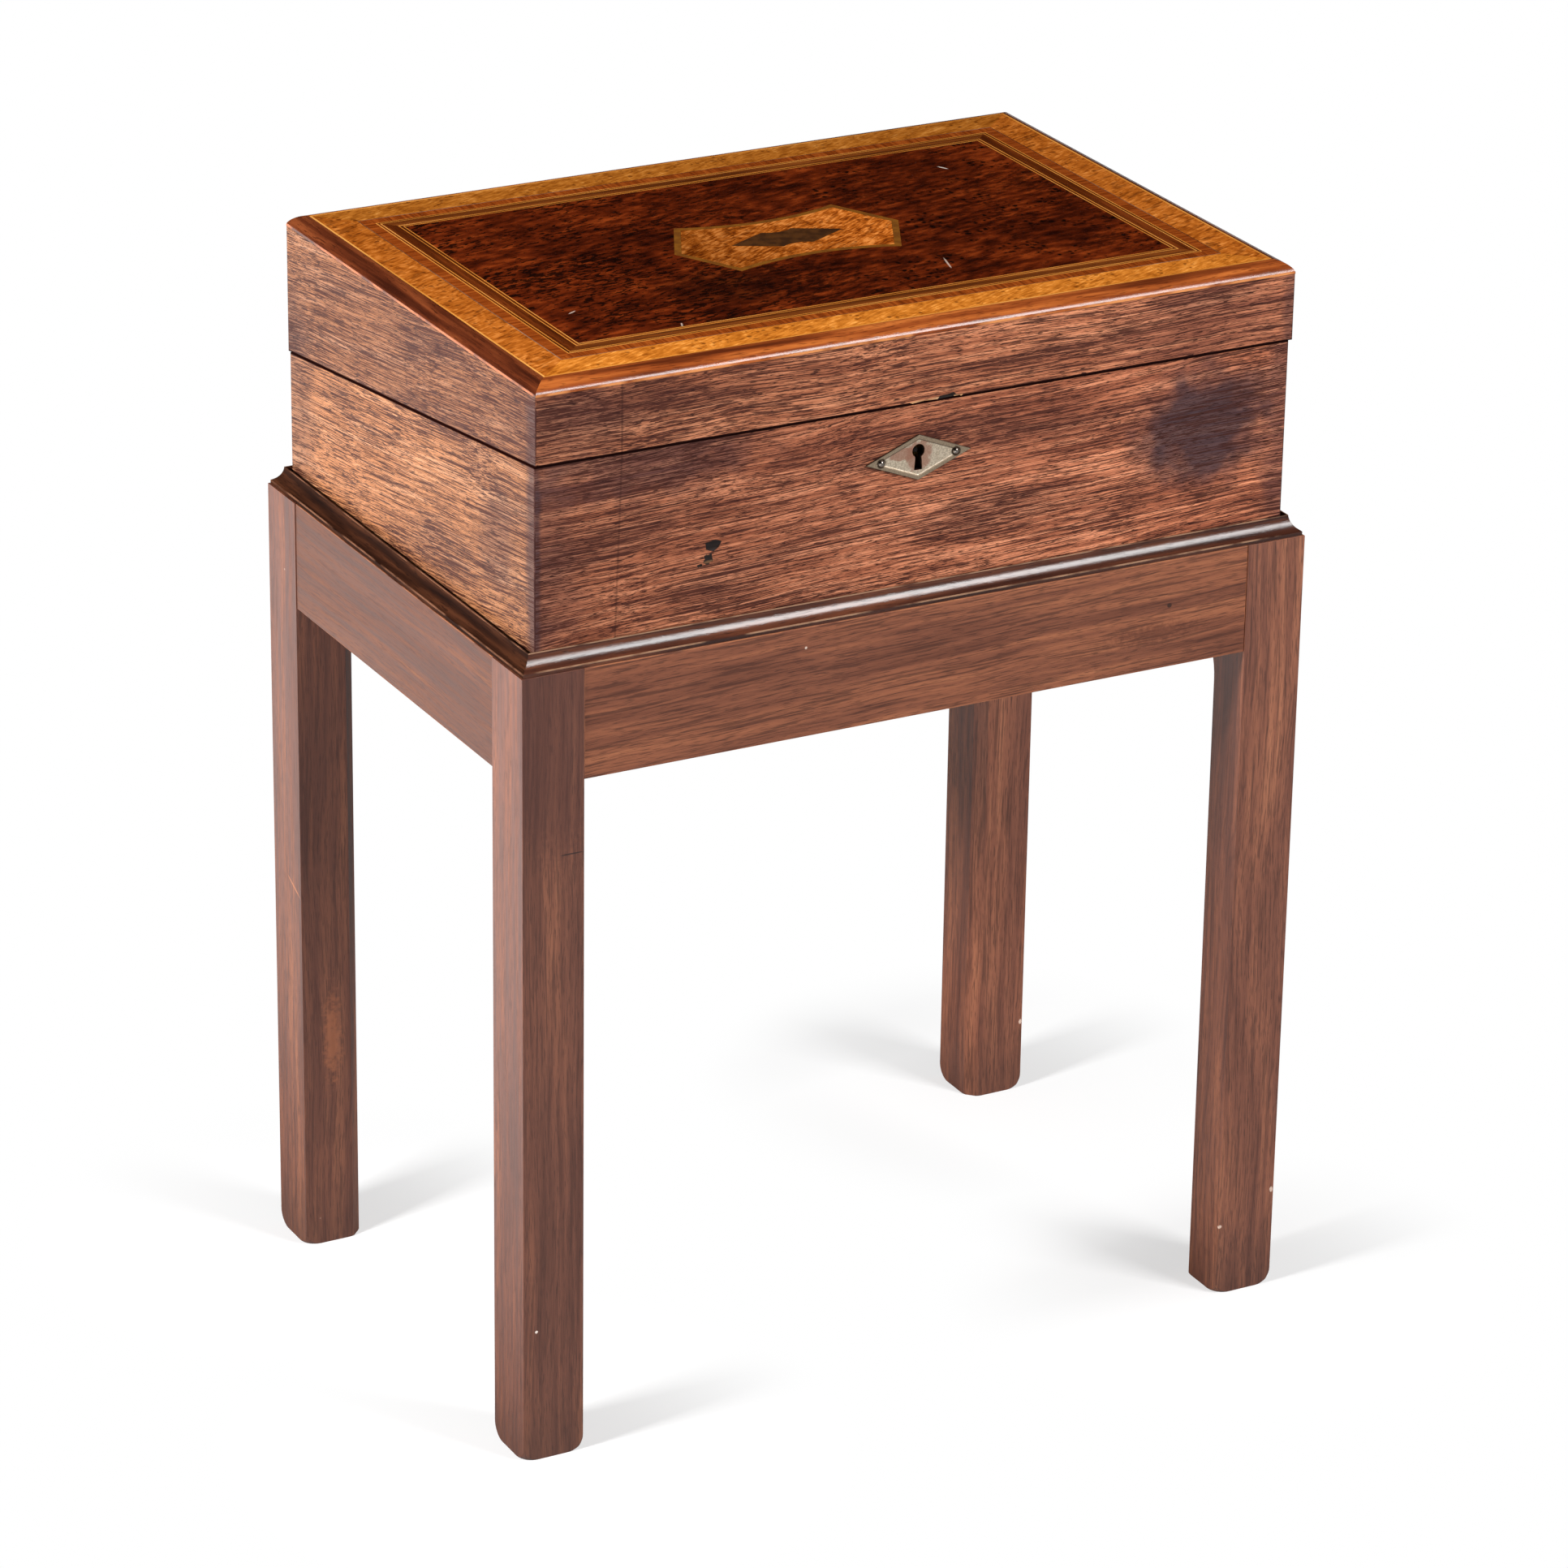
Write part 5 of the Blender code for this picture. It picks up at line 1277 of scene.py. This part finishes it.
def escutcheon():
    low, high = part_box("escutcheon")
    middle = (low + high) / 2
    bpy.ops.object.select_all(action="DESELECT")
    bpy.ops.mesh.primitive_cylinder_add(vertices=4, radius=0.5, depth=1, rotation=(math.pi / 2, 0, 0))
    plate = settle(named("escutcheon"))
    plate.scale = (high.x - low.x, high.y - low.y, high.z - low.z)
    plate.location = middle
    settle(plate)
    pickFaces(plate, lambda c, n: n.y < -0.9)
    bpy.ops.mesh.inset(thickness=escutcheonLook["rim"])
    bpy.ops.mesh.inset(thickness=escutcheonLook["slope"])
    bpy.ops.transform.translate(value=(0, escutcheonLook["dish"], 0))
    bpy.ops.object.mode_set(mode="OBJECT")
    plate.data.materials.append(nickel)
    for cutter in keyholeCutter(low.y - 0.002, high.y + 0.002):
        cutBy(plate, cutter)
    easeEdges(plate, escutcheonLook["ease"], 2, 25)
    dress(plate, "desk", "nickel", nickel, "escutcheon", smooth=30)
    for side in ("left", "right"):
        pinLow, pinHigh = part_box("escutcheon_pin_" + side)
        radius = (pinHigh.x - pinLow.x) / 2
        seat = low.y + escutcheonLook["dish"]
        rise = seat - pinLow.y
        bpy.ops.object.select_all(action="DESELECT")
        bpy.ops.mesh.primitive_uv_sphere_add(
            segments=32, ring_count=16, radius=1, location=((pinLow.x + pinHigh.x) / 2, seat, keyholeZ)
        )
        pin = named("pin" + side.title())
        pin.scale = (radius, rise, radius)
        settle(pin)
        sliceOff(pin, (0, seat, 0), (0, 1, 0))
        dress(pin, "desk", "nickel", pinNickel, "escutcheon_pin_" + side, smooth=60)


escutcheon()
print("escutcheon made")


# Inside of the desk, its lock and its hinges
leatherBase = tooledLeather("leatherBase", "base_leather")
leatherLid = tooledLeather("leatherLid", "lid_leather")
insidePieces = [
    ("base_bottom", "desk", "carcase", insideX, 0.0005),
    ("till_divider", "desk", "carcase", insideX, 0.0006),
    ("till_partition_left", "desk", "carcase", insideY, 0.0006),
    ("till_partition_right", "desk", "carcase", insideY, 0.0006),
    ("pen_tray", "desk", "carcase", insideX, 0.0005),
    ("base_flap", "desk", "carcase", mahoganyX, 0.0006),
    ("base_leather", "desk", "leather", leatherBase, 0.0002),
    ("lid_flap", "lid", "carcase", mahoganyX, 0.0006),
    ("lid_leather", "lid", "leather", leatherLid, 0.0002),
    ("lock_case", "desk", "brass", brass, 0.0002),
    ("link_plate", "lid", "brass", brass, 0.0002),
    ("hinge_left_base_leaf", "desk", "brass", brass, 0.0002),
    ("hinge_left_lid_leaf", "lid", "brass", brass, 0.0002),
    ("hinge_left_pin", "desk", "steel", steel, 0.0002),
    ("hinge_right_base_leaf", "desk", "brass", brass, 0.0002),
    ("hinge_right_lid_leaf", "lid", "brass", brass, 0.0002),
    ("hinge_right_pin", "desk", "steel", steel, 0.0002),
]
screwLook = {"radius": 0.0015, "rise": 0.00022, "slot": 0.0005, "floor": 0.00006, "from axis": 0.0065,
             "places": (-0.34, 0.0, 0.34), "turns": (20, -35, 70)}


def hingeScrews(node):  # slotted heads, a little proud of a hinge leaf
    look = screwLook
    low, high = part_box(node)
    way = 1 if "base" in node else -1
    face = -way * lidGap / 2 * cutNormal.z
    heads = []
    for share, turn in zip(look["places"], look["turns"]):
        place = Vector(((low.x + high.x) / 2 + share * (high.x - low.x), -look["from axis"], face))
        bpy.ops.object.select_all(action="DESELECT")
        bpy.ops.mesh.primitive_cylinder_add(vertices=28, radius=look["radius"], depth=look["rise"] * 2,
            location=place)
        head = settle(named("screw"))
        head.data.materials.append(steel)
        half = Vector((look["radius"] * 1.2, look["slot"] / 2, look["rise"]))
        cutter = addBlock("screwSlot", -half, half)
        # the slot's faces take the painted shade
        cutter.data.materials.append(paintedHoleShade)
        cutter.rotation_euler.z = math.radians(turn)
        cutter.location = place + Vector((0, 0, way * (look["floor"] + look["rise"])))
        cutBy(head, settle(cutter))
        head.location = (0, hingeAxis.y, hingeAxis.z)
        head.rotation_euler.x = -math.atan(cutRise)
        heads.append(settle(head))
    return heads


for node, body, slot, surface, width in insidePieces:
    words = node.split("_")
    piece = copyNode(node, words[0] + "".join(w.title() for w in words[1:]))
    easeEdges(piece, width, 2, 40)
    if node.endswith("leaf"):
        piece.data.materials.append(surface)
        piece = joined([piece, *hingeScrews(node)], piece.name)
    dress(piece, body, slot, surface, node)

hiddenNodes = {
    "base_ledge_left": insideY, "base_ledge_right": insideY, "lid_ledge_left": insideY,
        "lid_ledge_right": insideY,
    "lid_board": insideX, "lock_bolt": brass, "lock_drill_pin": paintedHoleShade,
}
for node, surface in hiddenNodes.items():
    frame["nodes"][node].material_slots[0].material = surface
print("inside made")


# Stage: white floor, two soft lamps and a dim room
stageLook = {
    "floor": 0.65, "seen floor": 0.40, "mirrored floor": 0.35, "glow": 0.50, "left glow": 1.5,
        "left from": (-0.25, -0.50),
    "room": 0.20, "dark room": 0.0, "shadow": (0.03, 0.17),
    "left lamp": {"place": (-1.50, -0.26, 1.10), "size": (0.3, 0.3), "power": 44, "mirrored": False},
    "front lamp": {"place": (1.45, -2.35, 2.25), "size": (1.0, 1.4), "power": 104, "mirrored": True},
    "aim": (0.0, 0.0, 0.35),
}
cameraLook = {"place": (-1.50463, -2.79084, 1.63339), "aim": (-0.0622, -0.1212, 0.3364), "roll": 0.866,
    "lens": 149.18}


def seenRays(tree):  # rays of the camera, and rays that see a reflection or pass through
    rays = put(tree, "LightPath").outputs
    return rays["Is Camera Ray"], maths(tree, "MAXIMUM", rays["Is Glossy Ray"], rays["Is Transmission Ray"])


def makeFloor():  # white, apart from the shadows round the feet
    bpy.ops.object.select_all(action="DESELECT")
    bpy.ops.mesh.primitive_plane_add(size=16)
    floor = named("floor")
    made = bpy.data.materials.new("paleFloor")
    made.use_nodes = True
    tree = made.node_tree
    tree.nodes.remove(tree.nodes["Principled BSDF"])
    camera, mirror = seenRays(tree)
    spot = put(tree, "SeparateXYZ", Vector=put(tree, "TexCoord").outputs["Object"]).outputs
    pale = stageLook["floor"]
    for rays, other in ((camera, "seen floor"), (mirror, "mirrored floor")):
        pale = maths(tree, "MULTIPLY_ADD", rays, stageLook[other] - stageLook["floor"], pale)
    diffuse = put(tree, "BsdfDiffuse", Color=pale)
    left = maths(tree, "MULTIPLY", mirror, spread(tree, spot["X"], *stageLook["left from"], 0.0,
        stageLook["left glow"]))
    glow = put(tree, "Emission", Strength=maths(tree, "MULTIPLY_ADD", camera, stageLook["glow"], left))
    both = put(tree, "AddShader")
    tree.links.new(diffuse.outputs[0], both.inputs[0])
    tree.links.new(glow.outputs[0], both.inputs[1])
    foot = (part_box("leg_back_right")[0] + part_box("leg_back_right")[1]) / 2
    away = [maths(tree, "SUBTRACT", maths(tree, "ABSOLUTE", spot[a]), getattr(foot, a.lower()))
        for a in "XY"]
    away = maths(tree, "SQRT", maths(tree, "ADD",
        *(maths(tree, "POWER", maths(tree, "ABSOLUTE", a), 2.0) for a in away)))
    clear = put(tree, "MixShader", Fac=maths(tree, "MULTIPLY", camera,
        spread(tree, away, *stageLook["shadow"])))
    tree.links.new(both.outputs[0], clear.inputs[1])
    tree.links.new(put(tree, "Emission", Strength=1.0).outputs[0], clear.inputs[2])
    tree.links.new(clear.outputs[0], tree.nodes["Material Output"].inputs["Surface"])
    floor.data.materials.append(made)


def makeRoom():  # white to the camera and low in reflections, dim elsewhere
    world = bpy.data.worlds.new("room")
    bpy.context.scene.world = world
    world.use_nodes = True
    tree = world.node_tree
    camera, mirror = seenRays(tree)
    heading = put(tree, "SeparateXYZ", Vector=put(tree, "TexCoord").outputs["Generated"]).outputs["Z"]
    seen = maths(tree, "MAXIMUM", camera, maths(tree, "MULTIPLY", mirror, spread(tree, heading, 0.09, 0.0)))
    dim = maths(tree, "MULTIPLY_ADD", mirror, stageLook["dark room"] - stageLook["room"], stageLook["room"])
    tree.links.new(dim, tree.nodes["Background"].inputs["Strength"])
    tree.nodes["Background"].inputs["Color"].default_value = (1, 1, 1, 1)
    white = put(tree, "Background", Color=(1, 1, 1, 1), Strength=1.0)
    both = put(tree, "MixShader", Fac=seen)
    tree.links.new(tree.nodes["Background"].outputs[0], both.inputs[1])
    tree.links.new(white.outputs[0], both.inputs[2])
    tree.links.new(both.outputs[0], tree.nodes["World Output"].inputs["Surface"])


def addLamp(name):
    look = stageLook[name]
    data = bpy.data.lights.new(name, "AREA")
    data.shape = "RECTANGLE"
    data.size, data.size_y = look["size"]
    data.energy = look["power"]
    lamp = bpy.data.objects.new(name, data)
    bpy.context.scene.collection.objects.link(lamp)
    lamp.location = look["place"]
    lamp.visible_glossy = look["mirrored"]
    lamp.rotation_euler = (Vector(stageLook["aim"]) - lamp.location).to_track_quat("-Z", "Y").to_euler()


def makeCamera():
    data = bpy.data.cameras.new("camera")
    data.lens = cameraLook["lens"]
    data.sensor_width = 36.0
    camera = bpy.data.objects.new("camera", data)
    bpy.context.scene.collection.objects.link(camera)
    camera.location = cameraLook["place"]
    view = Vector(cameraLook["aim"]) - camera.location
    roll = Quaternion((0, 0, 1), math.radians(cameraLook["roll"]))
    camera.rotation_euler = (view.to_track_quat("-Z", "Y") @ roll).to_euler()
    bpy.context.scene.camera = camera


makeFloor()
makeRoom()
addLamp("left lamp")
addLamp("front lamp")
makeCamera()
bpy.context.scene.view_settings.view_transform = "Standard"
print("stage made")
